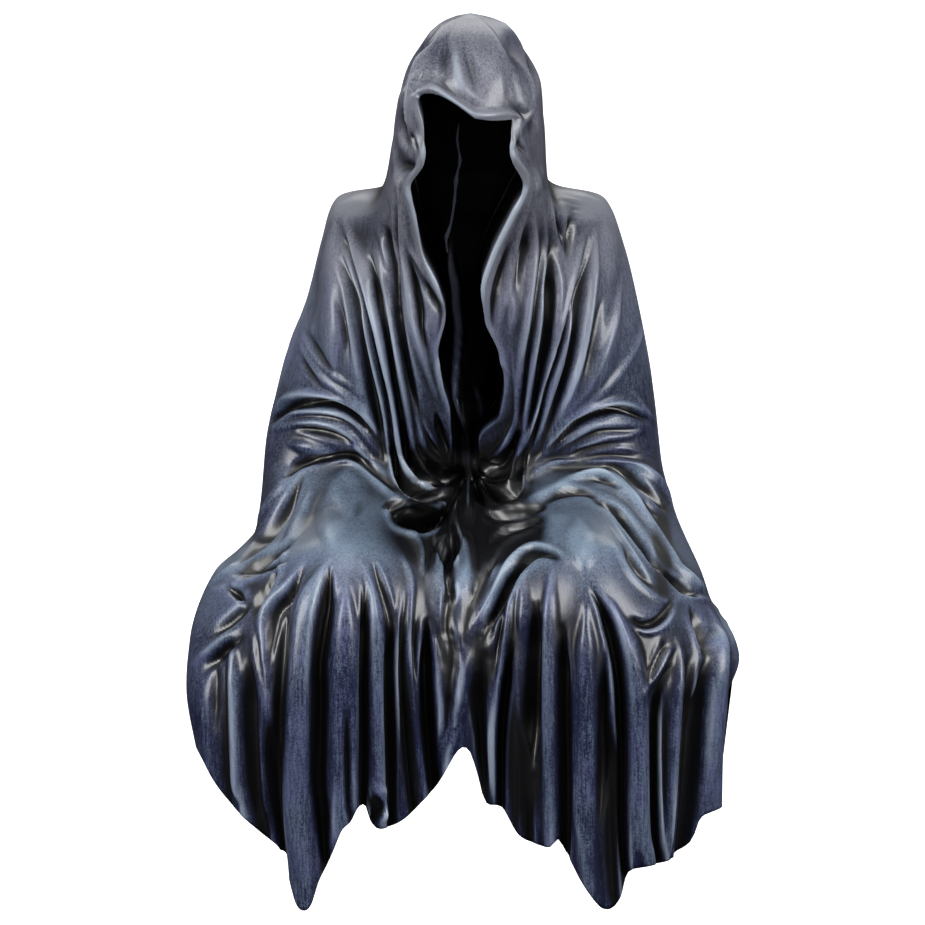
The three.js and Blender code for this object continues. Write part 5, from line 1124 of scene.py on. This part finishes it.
foot_x = spread(hem_line[0, 0], hem_line[-1, 0])
top_x = spread(ring_cloth[-1, 0, 0], ring_cloth[-1, FRONT - 1, 0])
FOOT_LINE = np.array([
    (-95, -60), (-62, -78), (-30, -58), (-12, -30), (0, -22), (12, -32), (30, -60), (62, -78), (95, -74),
])
foot_from = np.concatenate([[hem_line[0, 0]], FOOT_LINE[:, 0], [hem_line[-1, 0]]])
foot_to = np.concatenate([[hem_line[0, 2]], FOOT_LINE[:, 1], [hem_line[-1, 2]]])
foot_z = np.interp(foot_x, foot_from, foot_to)
ledge = np.full(FRONT, LEDGE_Y)
rounded = hem_line - level * HEM_THICKNESS * taper + np.array([0, 0, EDGE_RISE]) * taper
let_in = hem_line - level * LET_IN * taper + np.array([0, 0, LET_IN_RISE]) * taper
lip = np.stack([foot_x, ledge - FOOT_LIP, foot_z + LET_IN_RISE], 1) * taper + hem_line * (1 - taper)
lip[:, 1] = np.minimum(lip[:, 1], LEDGE_Y - FOOT_LIP * taper[:, 0])
foot = np.stack([foot_x, ledge, foot_z], 1)
seat_edge = np.stack([top_x, ledge, np.zeros(FRONT)], 1)
print("hem from b =", round(on_drawing(hem_line)[1].min(), 1), "mm")

# %% [markdown]
# ## The run of resin in the hollow
# A thin raised line comes down the back of the hollow, where resin crept into a joint of the mould. It is
# finer than the grid's columns, so it is a small tube of its own that lies half sunk in the cloth
# behind it. How far back the cloth is there is a mean of the hollow's points, weighted by exp(-(d/r)^2)
# of their distance d on the drawing plane, with r = 3 mm. Its radius swells and shrinks unevenly, as a
# product of two sines plus half of a third, counted in steps down the line.

# %% A tube down the back of the hollow
RUN_LINE = [
    (-3.1, 213.6), (-4, 205.6), (-2.7, 196.6), (-4.2, 190), (-5.4, 177), (-7, 168), (-8.9, 161.5),
    (-7.2, 153), (-5.6, 141), (-4.5, 131.5), (-3.6, 120.8), (-4.2, 112), (-5, 98.5), (-3.6, 87), (-1, 80),
]
RUN_RADIUS = 0.8
RUN_SWELL = 0.34
RUN_SIDES = 6
RUN_BLEND = 3
RUN_STARTS = (-1, 5)
RUN_ENDS = (0, 12)
HOLLOW_ROWS = (0.13, 0.56)
HOLLOW_MIDDLE = 0.7
run_a, run_b = smooth_line(RUN_LINE).T
hollow_rows = (ring_v[:, 0] > HOLLOW_ROWS[0]) & (ring_v[:, 0] < HOLLOW_ROWS[1])
hollow_points = ring_cloth[hollow_rows][:, lip_place(turns) < HOLLOW_MIDDLE].reshape(-1, 3)
hollow_a, hollow_b = on_drawing(hollow_points)
apart = np.hypot(run_a[:, None] - hollow_a, run_b[:, None] - hollow_b)
weight = np.exp(-((apart / RUN_BLEND) ** 2))
run_y = (weight @ hollow_points[:, 1]) / weight.sum(1)
run_middle = np.stack([run_a, run_y, (run_b - run_y * DEPTH_SHARE) / UP_SHARE], 1)
step = np.arange(len(run_a))
swell = np.sin(0.9 * step) * np.sin(0.37 * step) + np.sin(1.7 * step) / 2
run_radius = RUN_RADIUS + RUN_SWELL * swell
run_radius *= ease(step, *RUN_STARTS) * ease(len(run_a) - step, *RUN_ENDS)
angle = 2 * np.pi * np.arange(RUN_SIDES) / RUN_SIDES
ring_offset = np.cos(angle)[:, None] * np.array([1, 0, 0]) + np.sin(angle)[:, None] * TO_VIEWER
run_points = run_middle[:, None] + run_radius[:, None, None] * ring_offset
print("the run has", len(run_a), "rings of", RUN_SIDES, "points")

# %% [markdown]
# ## One closed mesh
# Every sheet of points gets a grid of numbers, and edges that two sheets share use the same numbers.
# So the mesh is closed without a merge, and no seam can open. Four neighbours make a face. At the
# crown and the corners, where neighbours fall together, faces are triangles.

# %% Number the points
edge_lines = [rounded, let_in, lip, foot, seat_edge]
points = np.concatenate([
    ring_cloth[0, :1], ring_cloth[1:].reshape(-1, 3), skirt_cloth.reshape(-1, 3),
    *edge_lines, [(0.0, 0.0, 0.0)], run_points.reshape(-1, 3),
])
ring_count = (RING - 1) * ROUND
ring_number = np.zeros((RING, ROUND + 1), int)
ring_number[1:, :ROUND] = 1 + np.arange(ring_count).reshape(RING - 1, ROUND)
ring_number[:, ROUND] = ring_number[:, 0]
skirt_start = 1 + ring_count
skirt_number = skirt_start + np.arange(SKIRT_ROWS * FRONT).reshape(SKIRT_ROWS, FRONT)
skirt_number = np.concatenate([ring_number[-1:, :FRONT], skirt_number])
edge_start = skirt_start + SKIRT_ROWS * FRONT
edge_number = edge_start + np.arange(len(edge_lines) * FRONT).reshape(-1, FRONT)
edge_number[:-1, [0, -1]] = skirt_number[-1, [0, -1]]
edge_number[-1, [0, -1]] = ring_number[-1, [0, FRONT - 1]]
foot_number, seat_number = edge_number[-2:]
middle_of_seat = edge_start + edge_number.size
run_start = middle_of_seat + 1
run_number = run_start + np.arange(len(run_a) * RUN_SIDES).reshape(len(run_a), RUN_SIDES)
run_number = np.concatenate([run_number, run_number[:, :1]], 1)
print(len(points), "numbered points")


# %% Make the faces
def grid_faces(numbers):
    """Faces of four, each a place with the one below, the one below right and the one to the right."""
    corners = [numbers[:-1, :-1], numbers[1:, :-1], numbers[1:, 1:], numbers[:-1, 1:]]
    return np.stack([c.ravel() for c in corners], 1)


def fan_faces(tip, rim):
    """Triangles from one tip to each stretch of a rim."""
    return np.stack([np.full(len(rim) - 1, tip), rim[:-1], rim[1:]], 1)


cloth_faces = np.concatenate([
    grid_faces(ring_number), grid_faces(skirt_number),
    grid_faces(np.concatenate([skirt_number[-1:], edge_number[:-1]])), grid_faces(run_number),
])
left_chain = np.concatenate([skirt_number[:, 0], foot_number[1:2]])
right_chain = np.concatenate([skirt_number[:, -1], foot_number[-2:-1]])
seat_rim = np.concatenate([
    ring_number[-1, FRONT - 1:ROUND + 1], seat_number[1:-1], ring_number[-1, FRONT - 1:FRONT],
])
flat_quads = grid_faces(edge_number[-2:, 1:-1])
flat_fans = np.concatenate([
    fan_faces(seat_number[1], left_chain[::-1]), fan_faces(seat_number[-2], right_chain),
    fan_faces(middle_of_seat, seat_rim[::-1]),
])
print(len(cloth_faces), "faces of cloth and", len(flat_quads) + len(flat_fans), "flat ones")


# %% Put them into the mesh
def drop_repeats(faces):
    """Plain lists of the faces' corners, with repeats left out, for those that keep three or more."""
    repeated = (faces == np.roll(faces, 1, 1)).any(1)
    whole = faces[~repeated].tolist()
    pinched = [list(dict.fromkeys(face)) for face in faces[repeated].tolist()]
    return whole + [face for face in pinched if len(face) > 2]


smooth_faces = drop_repeats(cloth_faces)
run_ends = [run_number[0, :RUN_SIDES].tolist(), run_number[-1, RUN_SIDES - 1::-1].tolist()]
flat_faces = flat_quads.tolist() + flat_fans.tolist() + run_ends
used = np.unique(np.concatenate([np.unique(cloth_faces), np.unique(flat_quads), np.unique(flat_fans)]))
new_number = np.zeros(len(points), int)
new_number[used] = np.arange(len(used))
faces = [new_number[face].tolist() for face in smooth_faces + flat_faces]
robe_mesh = bpy.data.meshes.new("robe")
robe_mesh.from_pydata(points[used] * METRES, [], faces)
smooth = np.arange(len(faces)) < len(smooth_faces)
robe_mesh.polygons.foreach_set("use_smooth", smooth)
robe_mesh.validate()
figure = bpy.data.objects.new("seated_reaper_cloth", robe_mesh)
bpy.context.scene.collection.objects.link(figure)
triangles = sum(len(face) - 2 for face in faces)
print("the figure has", len(used), "points and", triangles, "triangles")

# %% [markdown]
# ## Where the brush touches, and where light and shade are painted
# Such figures are sprayed black, and then a nearly dry brush of blue-grey is dragged over them. It
# leaves paint where the cloth stands proud, and none in the valleys. Standing proud is measured
# on the mesh: how far a point lies outside the blurred cloth. A blur of some millimetres gives the
# ridges, and a narrow one the thin crests. The brush also loads what faces up, such as the knees and the
# shoulders, and that paint also stands in for the light from above, as a painted top light. Painted
# shade darkens the places where the cloth is drawn together or lies behind a pleat, where shadow falls.
# Pointiness in the shader would depend on the triangles' own size, while these numbers stay with the
# mesh.

# %% Measure what stands proud
RIDGE_BLUR = 26
CREST_BLUR = 3
KNEE_BLUR = 260
cloth_below = np.repeat(ring_cloth[-1:], SKIRT_ROWS, 0)
cloth_below[:, :FRONT] = skirt_cloth
cloth = np.concatenate([ring_cloth, cloth_below])
plain_normals = np.concatenate([ring_normals, np.repeat(ring_normals[-1:], SKIRT_ROWS, 0)])
plain_normals[RING:, :FRONT] = skirt_normals
all_u = np.concatenate([ring_u, np.repeat(ring_u[-1:], SKIRT_ROWS, 0)])
all_v = np.concatenate([ring_v, np.repeat(ring_v[-1:], SKIRT_ROWS, 0)])


def standing_proud(times):
    """How far the cloth lies outside the cloth blurred that many times, along its outward normal, in mm."""
    return ((cloth - blur(cloth, times)) * plain_normals).sum(-1)


ridge = standing_proud(RIDGE_BLUR)
print("ridges stand up to", round(ridge.max(), 1), "mm proud")

# %% [markdown]
# ## Painted shade and painted light
# A place of painted shade is (centre a, centre b, half width, half height, how much lower its ridges
# count), all in millimetres: the paint there is darkened where shadow falls between and behind folds.
# The whole skirt below the knees counts a little lower too, as painted shade where it hangs steep under
# them. The hem counts higher, so its points are lighter, and the sides of the upper body count higher
# as a painted sheen. The hollow keeps the bare black coat, and the pocket under the closing is painted
# black as shade. Places of painted shade, the pocket and the skirt's band are drawn from the front, so
# they are nil on the back. They could be painted by hand as weights, but then they would be lost
# whenever the mesh is made again.

# %% Places of painted shade
PAINTED_SHADE_PLACES = [
    (-7, 39, 29, 25, 2.5), (-3, 70, 34, 34, 0.5), (-18, 56, 16, 14, 3), (16, 56, 12, 13, 3),
    (65, -92, 6, 46, 1.6), (-88.5, -80, 5, 34, 2), (100, -73, 5, 38, 2), (25, -71, 7, 42, 2),
    (-24, -64, 9, 35, 1.5), (-40, -92.5, 3.2, 5, 6), (38, 128, 8, 26, 1.5), (20, 33, 14, 17, 2.5),
    (88, 22, 4.5, 24, 1.2), (-93, 11.5, 8, 12, 1),
]
PAINTED_SHADE_EDGE = (0.5, 1.35)
SKIRT_PAINTED_SHADE = 0.55
SKIRT_FOOT = (-60, -20)
SKIRT_TOP = (22, 58)
SKIRT_SIDE = (85, 110)
HEM_LIFT = 0.5
HEM_DEPTH = (40, 75)
UPPER_SIDE_PAINTED_LIGHT = 0.4
UPPER_HEIGHT = (60, 140)
UPPER_SIDE = (15, 40)
on_front = front_share(all_u)


def painted_shade_share(centre_a, centre_b, wide, high):
    """1 in the middle of a place of painted shade and 0 outside, by the distance on the drawing plane over
    the half width and half height, and nil on the back."""
    a, b = on_drawing(cloth)
    off = np.hypot((a - centre_a) / wide, (b - centre_b) / high)
    return on_front * (1 - ease(off, *PAINTED_SHADE_EDGE))


# Painted shade: the ridges count lower in these places, so the paint goes dark where shadow falls.
painted_shade = sum(shade_depth * painted_shade_share(*place) for *place, shade_depth in PAINTED_SHADE_PLACES)
across, cloth_z = np.abs(cloth[..., 0]), cloth[..., 2]
# Painted shade on the skirt that hangs steep under the knees; the hem is made lighter towards its points.
skirt_shade_band = ease(cloth_z, *SKIRT_FOOT) * (1 - ease(cloth_z, *SKIRT_TOP)) * (1 - ease(across, *SKIRT_SIDE))
painted_shade += SKIRT_PAINTED_SHADE * skirt_shade_band * on_front - HEM_LIFT * ease(-cloth_z, *HEM_DEPTH)
# Painted light: the sides of the upper body count higher, as a painted sheen.
painted_shade -= UPPER_SIDE_PAINTED_LIGHT * ease(cloth_z, *UPPER_HEIGHT) * ease(across, *UPPER_SIDE)
print("ridges count up to", round(painted_shade.max(), 1), "mm lower")

# %% The black hollow, the pocket's painted shade, and the numbers for the shader
POCKET_PAINTED_SHADE = (-21, 37, 13, 6)
POCKET_SHADE_FILL = 1.6
CREST_UNDER_SHADE = 0.2
STREAK_SHARE = 0.7
STREAK_HEIGHT = 4
LIP_EDGE = (0.86, 1.02)
BRIM_EDGE = (0.118, 0.126)
CLOSING_EDGE = (0.565, CLOSED_V)


def hollow_share(u, v):
    """1 between the lips of the opening and 0 outside them."""
    inside = 1 - ease(lip_place(u), *LIP_EDGE)
    return inside * ease(v, *BRIM_EDGE) * (1 - ease(v, *CLOSING_EDGE))


def point_values(field, at_edges, on_run):
    """The grid's values in the mesh's order, with one for the hem's underside and hidden sides and one
    for the run in the hollow."""
    rest = np.full(len(points) - edge_start, at_edges)
    rest[run_start - edge_start:] = on_run
    values = np.concatenate([field[0, :1], field[1:RING].ravel(), field[RING:, :FRONT].ravel(), rest])
    return values[used].astype(np.float32)


# The pocket under the closing is painted black as shade, as dark and dull as the hollow.
unlit = np.maximum(hollow_share(all_u, all_v), np.clip(POCKET_SHADE_FILL * painted_shade_share(*POCKET_PAINTED_SHADE), 0, 1))
# The crests are narrowed under painted shade, and the ridge attribute below is the ridges less the painted
# shade.
crest = standing_proud(CREST_BLUR) * (1 - unlit) - CREST_UNDER_SHADE * np.maximum(painted_shade, 0)
streak = np.clip(strokes_height(*on_drawing(cloth), HOLLOW_STREAKS) / STREAK_HEIGHT, 0, 1)
for name, field, at_edges, on_run in (
    ("ridge", ridge - painted_shade, -0.3, 1.0),
    ("crest", crest, 0.0, 1.5),
    ("knee", standing_proud(KNEE_BLUR), -1.0, -1.0),
    ("turned_up", plain_normals[..., 2], 0.0, 0.0),
    ("in_hollow", unlit * (1 - STREAK_SHARE * streak), 0.0, 0.1),
):
    attribute = robe_mesh.attributes.new(name, "FLOAT", "POINT")
    attribute.data.foreach_set("value", point_values(field, at_edges, on_run))
    print(name, [round(float(part), 2) for part in np.percentile(field, [0, 10, 50, 90, 100])])

# %% [markdown]
# ## The finish: painted cast resin
# Polyester resin casts a fine, slightly pitted skin. It is sprayed black, given a thin navy wash, dry
# brushed twice, blue-grey and then pale on the highest lines, and sealed with a satin clear coat. The
# coat gives the soft grey sheen on the turns of the cloth, and the brushed places stay duller. One
# shader with these layers in their order keeps each one easy to change.

# %% A node, and colours in linear light
def linear(hex_colour):
    """sRGB hex to linear: c/12.92 below 0.04045, otherwise ((c+0.055)/1.055)^2.4."""
    parts = [int(hex_colour[i:i + 2], 16) / 255 for i in (1, 3, 5)]
    return [c / 12.92 if c <= 0.04045 else ((c + 0.055) / 1.055) ** 2.4 for c in parts] + [1.0]


def add(tree, kind, settings, *sources):
    """Adds a node, sets its properties and sockets, and links (socket, output) pairs into it."""
    node = tree.nodes.new(kind)
    for setting, amount in settings.items():
        if isinstance(setting, int) or setting in node.inputs:
            node.inputs[setting].default_value = amount
        else:
            setattr(node, setting, amount)
    for socket, source in sources:
        tree.links.new(source, node.inputs[socket])
    return node


def per_metre(millimetres):
    """Noise scale whose patches are about that wide: one metre over the width."""
    return 1 / (millimetres * METRES)


print("mid grey is", round(linear("#808080")[0], 3), "in linear light")

# %% [markdown]
# ## What the shader reads
# The brush's grain, the pits of the casting and the bristles' scratches are noises in the object's own
# place. The scratches are stretched along a line that leans a little to one side or the other. The real
# pits and bristle marks are finer than the picture's pixels, so they are drawn about a millimetre wide,
# as coarse as they need to show.

# %% Colours and sizes
BLACK_COAT = "#060608"
NAVY_WASH = "#181c38"
BLUE_GREY = "#6b7d8d"
VIOLET_GREY = "#5c6484"
NEUTRAL_GREY = "#6e6e74"
PALE_CREST = "#a3b0c0"
HOLLOW_AND_SHADOW_BLACK = "#030303"
BRUSH_GRAIN_MM = 1.1
SPECKLE_MM = 0.7
CLOUD_MM = 24
SCRATCH_MM = 0.9
SCRATCH_LENGTH = 14
print("the brush grain is", BRUSH_GRAIN_MM, "mm wide, so its scale is", round(per_metre(BRUSH_GRAIN_MM)))

# %% Places, measures and noises
finish = bpy.data.materials.new("painted_cast_resin_satin_coat")
finish.use_nodes = True
tree = finish.node_tree
tree.nodes.clear()
place = add(tree, "ShaderNodeTexCoord", {}).outputs["Object"]
value = {"height": add(tree, "ShaderNodeSeparateXYZ", {}, (0, place)).outputs["Z"]}
for name in ("ridge", "crest", "knee", "turned_up", "in_hollow"):
    value[name] = add(tree, "ShaderNodeAttribute", {"attribute_name": name}).outputs["Fac"]
for name, size, detail in (
    ("clouds", CLOUD_MM, 3), ("grain", BRUSH_GRAIN_MM, 4), ("speckle", SPECKLE_MM, 2),
):
    noise = add(tree, "ShaderNodeTexNoise", {"Scale": per_metre(size), "Detail": detail}, ("Vector", place))
    value[name] = noise.outputs[0]
for name, slant in (("left scratches", -14), ("right scratches", 17)):
    turned = add(tree, "ShaderNodeMapping", {
        "Rotation": (0, math.radians(slant), 0), "Scale": (1, 1, 1 / SCRATCH_LENGTH),
    }, ("Vector", place))
    value[name] = add(tree, "ShaderNodeTexNoise", {
        "Scale": per_metre(SCRATCH_MM), "Detail": 2, "Roughness": 0.6,
    }, ("Vector", turned.outputs[0])).outputs[0]
print("the shader reads", ", ".join(value))

# %% [markdown]
# Each line of the next table maps a range of one value to another, with an eased curve that is held
# at both ends. The load of the brush is a sum of what the place gives it, its height, its slope and
# its nearness to a knee, and of the uneven marks of the bristles. Part of it is painted light and shade:
# more paint on what faces up and on the upper body, as painted top light and sheen, and less on the
# hood's top, as painted shade. The load of the brush is a sum of what the place gives it, its height, its
# slope and
# its nearness to a knee, and of the uneven marks of the bristles.

# %% Shares of the paint
RANGE = ("From Min", "From Max", "To Min", "To Max")
for name, source, low, high, to_low, to_high in (
    ("exposed", "ridge", -1.2, 1.1, 0.0, 1.0),
    ("raised", "ridge", 0.2, 3.0, 0.0, 0.5),
    # Brush load on what faces up, which also stands in for the light from above.
    ("facing up and top light", "turned_up", 0.15, 0.95, 0.0, 0.74),
    ("near knee", "knee", 0.0, 6.0, 0.0, 0.12),
    # Painted sheen: more paint on the upper body.
    ("upper body painted sheen", "height", 0.06, 0.14, 0.0, 0.62),
    # Painted shade: less paint on the top of the hood.
    ("hood top painted shade", "height", 0.25, 0.28, 0.0, -1.1),
    ("neutral high up", "height", 0.08, 0.2, 0.0, 0.85),
    ("grain marks", "grain", 0.3, 0.7, -0.13, 0.13),
    ("speckle marks", "speckle", 0.38, 0.62, -0.15, 0.15),
    ("left marks", "left scratches", 0.35, 0.65, -0.12, 0.12),
    ("right marks", "right scratches", 0.35, 0.65, -0.12, 0.12),
    ("cloud marks", "clouds", 0.3, 0.7, -0.14, 0.14),
    ("violet clouds", "clouds", 0.4, 0.6, 0.4, 1.0),
    ("violet slope", "turned_up", 0.45, 0.95, 1.0, 0.1),
    ("crest line", "crest", 0.35, 1.5, 0.0, 0.6),
    ("hollow", "in_hollow", 0.1, 0.9, 0.0, 1.0),
    ("outer gloss", "in_hollow", 0.1, 0.9, 0.5, 0.06),
):
    ends = dict(zip(RANGE, (low, high, to_low, to_high)))
    value[name] = add(
        tree, "ShaderNodeMapRange", {"interpolation_type": "SMOOTHSTEP", **ends}, ("Value", value[source]),
    ).outputs[0]

load = value["raised"]
for name in (
    "facing up and top light", "near knee", "upper body painted sheen", "hood top painted shade",
    "grain marks", "speckle marks", "left marks", "right marks", "cloud marks",
):
    load = add(tree, "ShaderNodeMath", {"operation": "ADD"}, (0, load), (1, value[name])).outputs[0]
value["cover"] = add(tree, "ShaderNodeMapRange", {"From Min": 0.05}, ("Value", load)).outputs[0]
for name, one, other in (("brushed", "cover", "exposed"), ("violet", "violet clouds", "violet slope")):
    value[name] = add(
        tree, "ShaderNodeMath", {"operation": "MULTIPLY"}, (0, value[one]), (1, value[other]),
    ).outputs[0]
print(len(value), "values, from", ", ".join(list(value)[:3]), "to", list(value)[-1])

# %% [markdown]
# The brush's paint is first mixed from its two colours and made greyer high up. The layers then go on
# in their real order, each one over the last by its share.

# %% Layers of the paint
tint = add(tree, "ShaderNodeMix", {
    "data_type": "RGBA", 6: linear(BLUE_GREY), 7: linear(VIOLET_GREY),
}, (0, value["violet"])).outputs[2]
tint = add(tree, "ShaderNodeMix", {
    "data_type": "RGBA", 7: linear(NEUTRAL_GREY),
}, (0, value["neutral high up"]), (6, tint)).outputs[2]
colour = add(tree, "ShaderNodeMix", {
    "data_type": "RGBA", 6: linear(BLACK_COAT), 7: linear(NAVY_WASH),
}, (0, value["exposed"])).outputs[2]
colour = add(
    tree, "ShaderNodeMix", {"data_type": "RGBA"}, (0, value["brushed"]), (6, colour), (7, tint),
).outputs[2]
# The hollow's black goes over the hollow and, as painted shade, over the pocket under the closing.
for share, paint in (("hollow", HOLLOW_AND_SHADOW_BLACK), ("crest line", PALE_CREST)):
    colour = add(tree, "ShaderNodeMix", {
        "data_type": "RGBA", 7: linear(paint),
    }, (0, value[share]), (6, colour)).outputs[2]
print("layers, from the bottom:", BLACK_COAT, NAVY_WASH, BLUE_GREY, HOLLOW_AND_SHADOW_BLACK, PALE_CREST)

# %% [markdown]
# The satin coat has the refraction of a varnish, 1.5. The bare coat is smoother than the brushed paint,
# and the grain and the scratches stand up from it by a small part of a millimetre. In the hollow the
# gloss is nearly nil, as the brush and the varnish don't reach in, and the pocket of painted shade under
# the closing is made as dull, so that it stays black.

# %% Gloss and grain
SMOOTH_COAT = 0.34
BRUSHED_PAINT = 0.5
GRAIN_HEIGHT = 0.15 * METRES
VARNISH = 1.5
roughness = add(tree, "ShaderNodeMapRange", {
    "To Min": SMOOTH_COAT, "To Max": BRUSHED_PAINT,
}, ("Value", value["brushed"])).outputs[0]
skin = value["speckle"]
for name in ("grain", "left scratches"):
    skin = add(tree, "ShaderNodeMath", {"operation": "ADD"}, (0, skin), (1, value[name])).outputs[0]
bump = add(tree, "ShaderNodeBump", {"Strength": 0.3, "Distance": GRAIN_HEIGHT}, ("Height", skin))
shader = add(tree, "ShaderNodeBsdfPrincipled", {
    "IOR": VARNISH, "Coat Roughness": 0.25, "Coat IOR": VARNISH,
}, ("Base Color", colour), ("Roughness", roughness), ("Normal", bump.outputs[0]),
    ("Specular IOR Level", value["outer gloss"]), ("Coat Weight", value["outer gloss"]))
add(tree, "ShaderNodeOutputMaterial", {}, ("Surface", shader.outputs[0]))
robe_mesh.materials.append(finish)
print("finish:", len(tree.nodes), "nodes")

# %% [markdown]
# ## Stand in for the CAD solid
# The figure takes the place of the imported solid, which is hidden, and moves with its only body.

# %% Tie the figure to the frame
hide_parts("seated_reaper")
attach(figure, "root")
print(figure.name, "stands in for seated_reaper")

# %% [markdown]
# ## Studio
# A white sweep that is lit from below gives the plain bright ground of a catalogue picture, so the
# dark figure reads by its outline. A glossy black coat mirrors whatever is bright, so the sweep is kept
# out of the reflections, as a photographer would with black card round the object, and the room is
# bright only overhead. Narrow soft lights make the long grey sheens on the folds.

# %% Floor and room
FLOOR_DROP = 0.30
FLOOR_HALF = 12
lowest = cad_box[0][2]
floor_mesh = bpy.data.meshes.new("floor")
corners = [(-FLOOR_HALF, -FLOOR_HALF), (FLOOR_HALF, -FLOOR_HALF)]
corners += [(FLOOR_HALF, FLOOR_HALF), (-FLOOR_HALF, FLOOR_HALF)]
floor_mesh.from_pydata([(x, y, lowest - FLOOR_DROP) for x, y in corners], [], [(0, 1, 2, 3)])
floor = bpy.data.objects.new("floor", floor_mesh)
bpy.context.scene.collection.objects.link(floor)
sweep = bpy.data.materials.new("lit_white_acrylic_sweep")
sweep.use_nodes = True
sheet = sweep.node_tree.nodes["Principled BSDF"]
sheet.inputs["Base Color"].default_value = linear("#f2f2f0")
sheet.inputs["Roughness"].default_value = 0.8
sheet.inputs["Emission Color"].default_value = linear("#ffffff")
sheet.inputs["Emission Strength"].default_value = 0.9
floor_mesh.materials.append(sweep)
floor.visible_diffuse = False
floor.visible_glossy = False
floor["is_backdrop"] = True

room = bpy.data.worlds.new("dim room")
bpy.context.scene.world = room
room.use_nodes = True
walls = room.node_tree
direction = add(walls, "ShaderNodeTexCoord", {}).outputs["Generated"]
upward = add(walls, "ShaderNodeSeparateXYZ", {}, (0, direction)).outputs["Z"]
brightness = dict(zip(RANGE, (-0.4, 1.0, 0.02, 0.5)))
strength = add(walls, "ShaderNodeMapRange", brightness, ("Value", upward)).outputs[0]
walls.links.new(strength, walls.nodes["Background"].inputs["Strength"])
walls.nodes["Background"].inputs["Color"].default_value = linear("#f4f6fb")
print("floor at z =", round(lowest - FLOOR_DROP, 3), "m")


# %% Soft lights
def soft_light(name, place, aim, width, height, power):
    """A rectangle of light at place that faces aim; power in watts."""
    data = bpy.data.lights.new(name, "AREA")
    data.shape = "RECTANGLE"
    data.size = width
    data.size_y = height
    data.energy = power
    light = bpy.data.objects.new(name, data)
    bpy.context.scene.collection.objects.link(light)
    light.location = place
    back = np.array(place) - np.array(aim)
    across = math.hypot(back[0], back[1])
    light.rotation_euler = (math.atan2(across, back[2]), 0, math.atan2(back[0], -back[1]))
    light.visible_camera = False
    return light


MIDDLE = (0.0, -0.03, 0.09)
for name, at, wide, tall, power in (
    ("overhead", (0.0, -0.5, 1.5), 1.2, 0.8, 6.2),
    ("behind", (0.0, 1.2, 1.0), 1.8, 1.0, 11.5),
    ("left side", (-1.05, -0.85, 0.6), 0.7, 1.0, 18.5),
    ("right side", (1.05, -0.85, 0.6), 0.7, 1.0, 18.5),
):
    light = soft_light(name, at, MIDDLE, wide, tall, power)
    print(light.name, "light of", power, "W")

# %% [markdown]
# ## Camera
# The picture looks down by the drawing plane's tilt, from far off, so upright lines stay parallel. Its
# frame is as wide as the drawing plane is there.

# %% Camera
CAMERA_DISTANCE = 4.0
PICTURE_WIDTH = 0.4126
SENSOR = 36
FURTHEST_SEEN = 50
AIM = np.array([-0.0016, -0.0650, 0.0928])
camera_data = bpy.data.cameras.new("camera")
camera_data.sensor_width = SENSOR
camera_data.lens = SENSOR * CAMERA_DISTANCE / PICTURE_WIDTH
camera_data.clip_end = FURTHEST_SEEN
camera = bpy.data.objects.new("camera", camera_data)
bpy.context.scene.collection.objects.link(camera)
camera.location = AIM + CAMERA_DISTANCE * np.array([0, -UP_SHARE, DEPTH_SHARE])
camera.rotation_euler = (math.radians(90) - LOOK_DOWN, 0, 0)
bpy.context.scene.camera = camera
bpy.context.scene.view_settings.view_transform = "Standard"
print("lens:", round(camera_data.lens), "mm")

# %% [markdown]
# ## Sizes
# The figure's box and the CAD solid's box are printed side by side. The figure must keep
# to the CAD solid's box.

# %% Write the sizes and finish
seen_box = [list(corner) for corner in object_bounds()]
for low, high, cad_low, cad_high in zip(*seen_box, *cad_box):
    print(f"from {low:.4f} to {high:.4f} m, against {cad_low:.4f} to {cad_high:.4f} m")
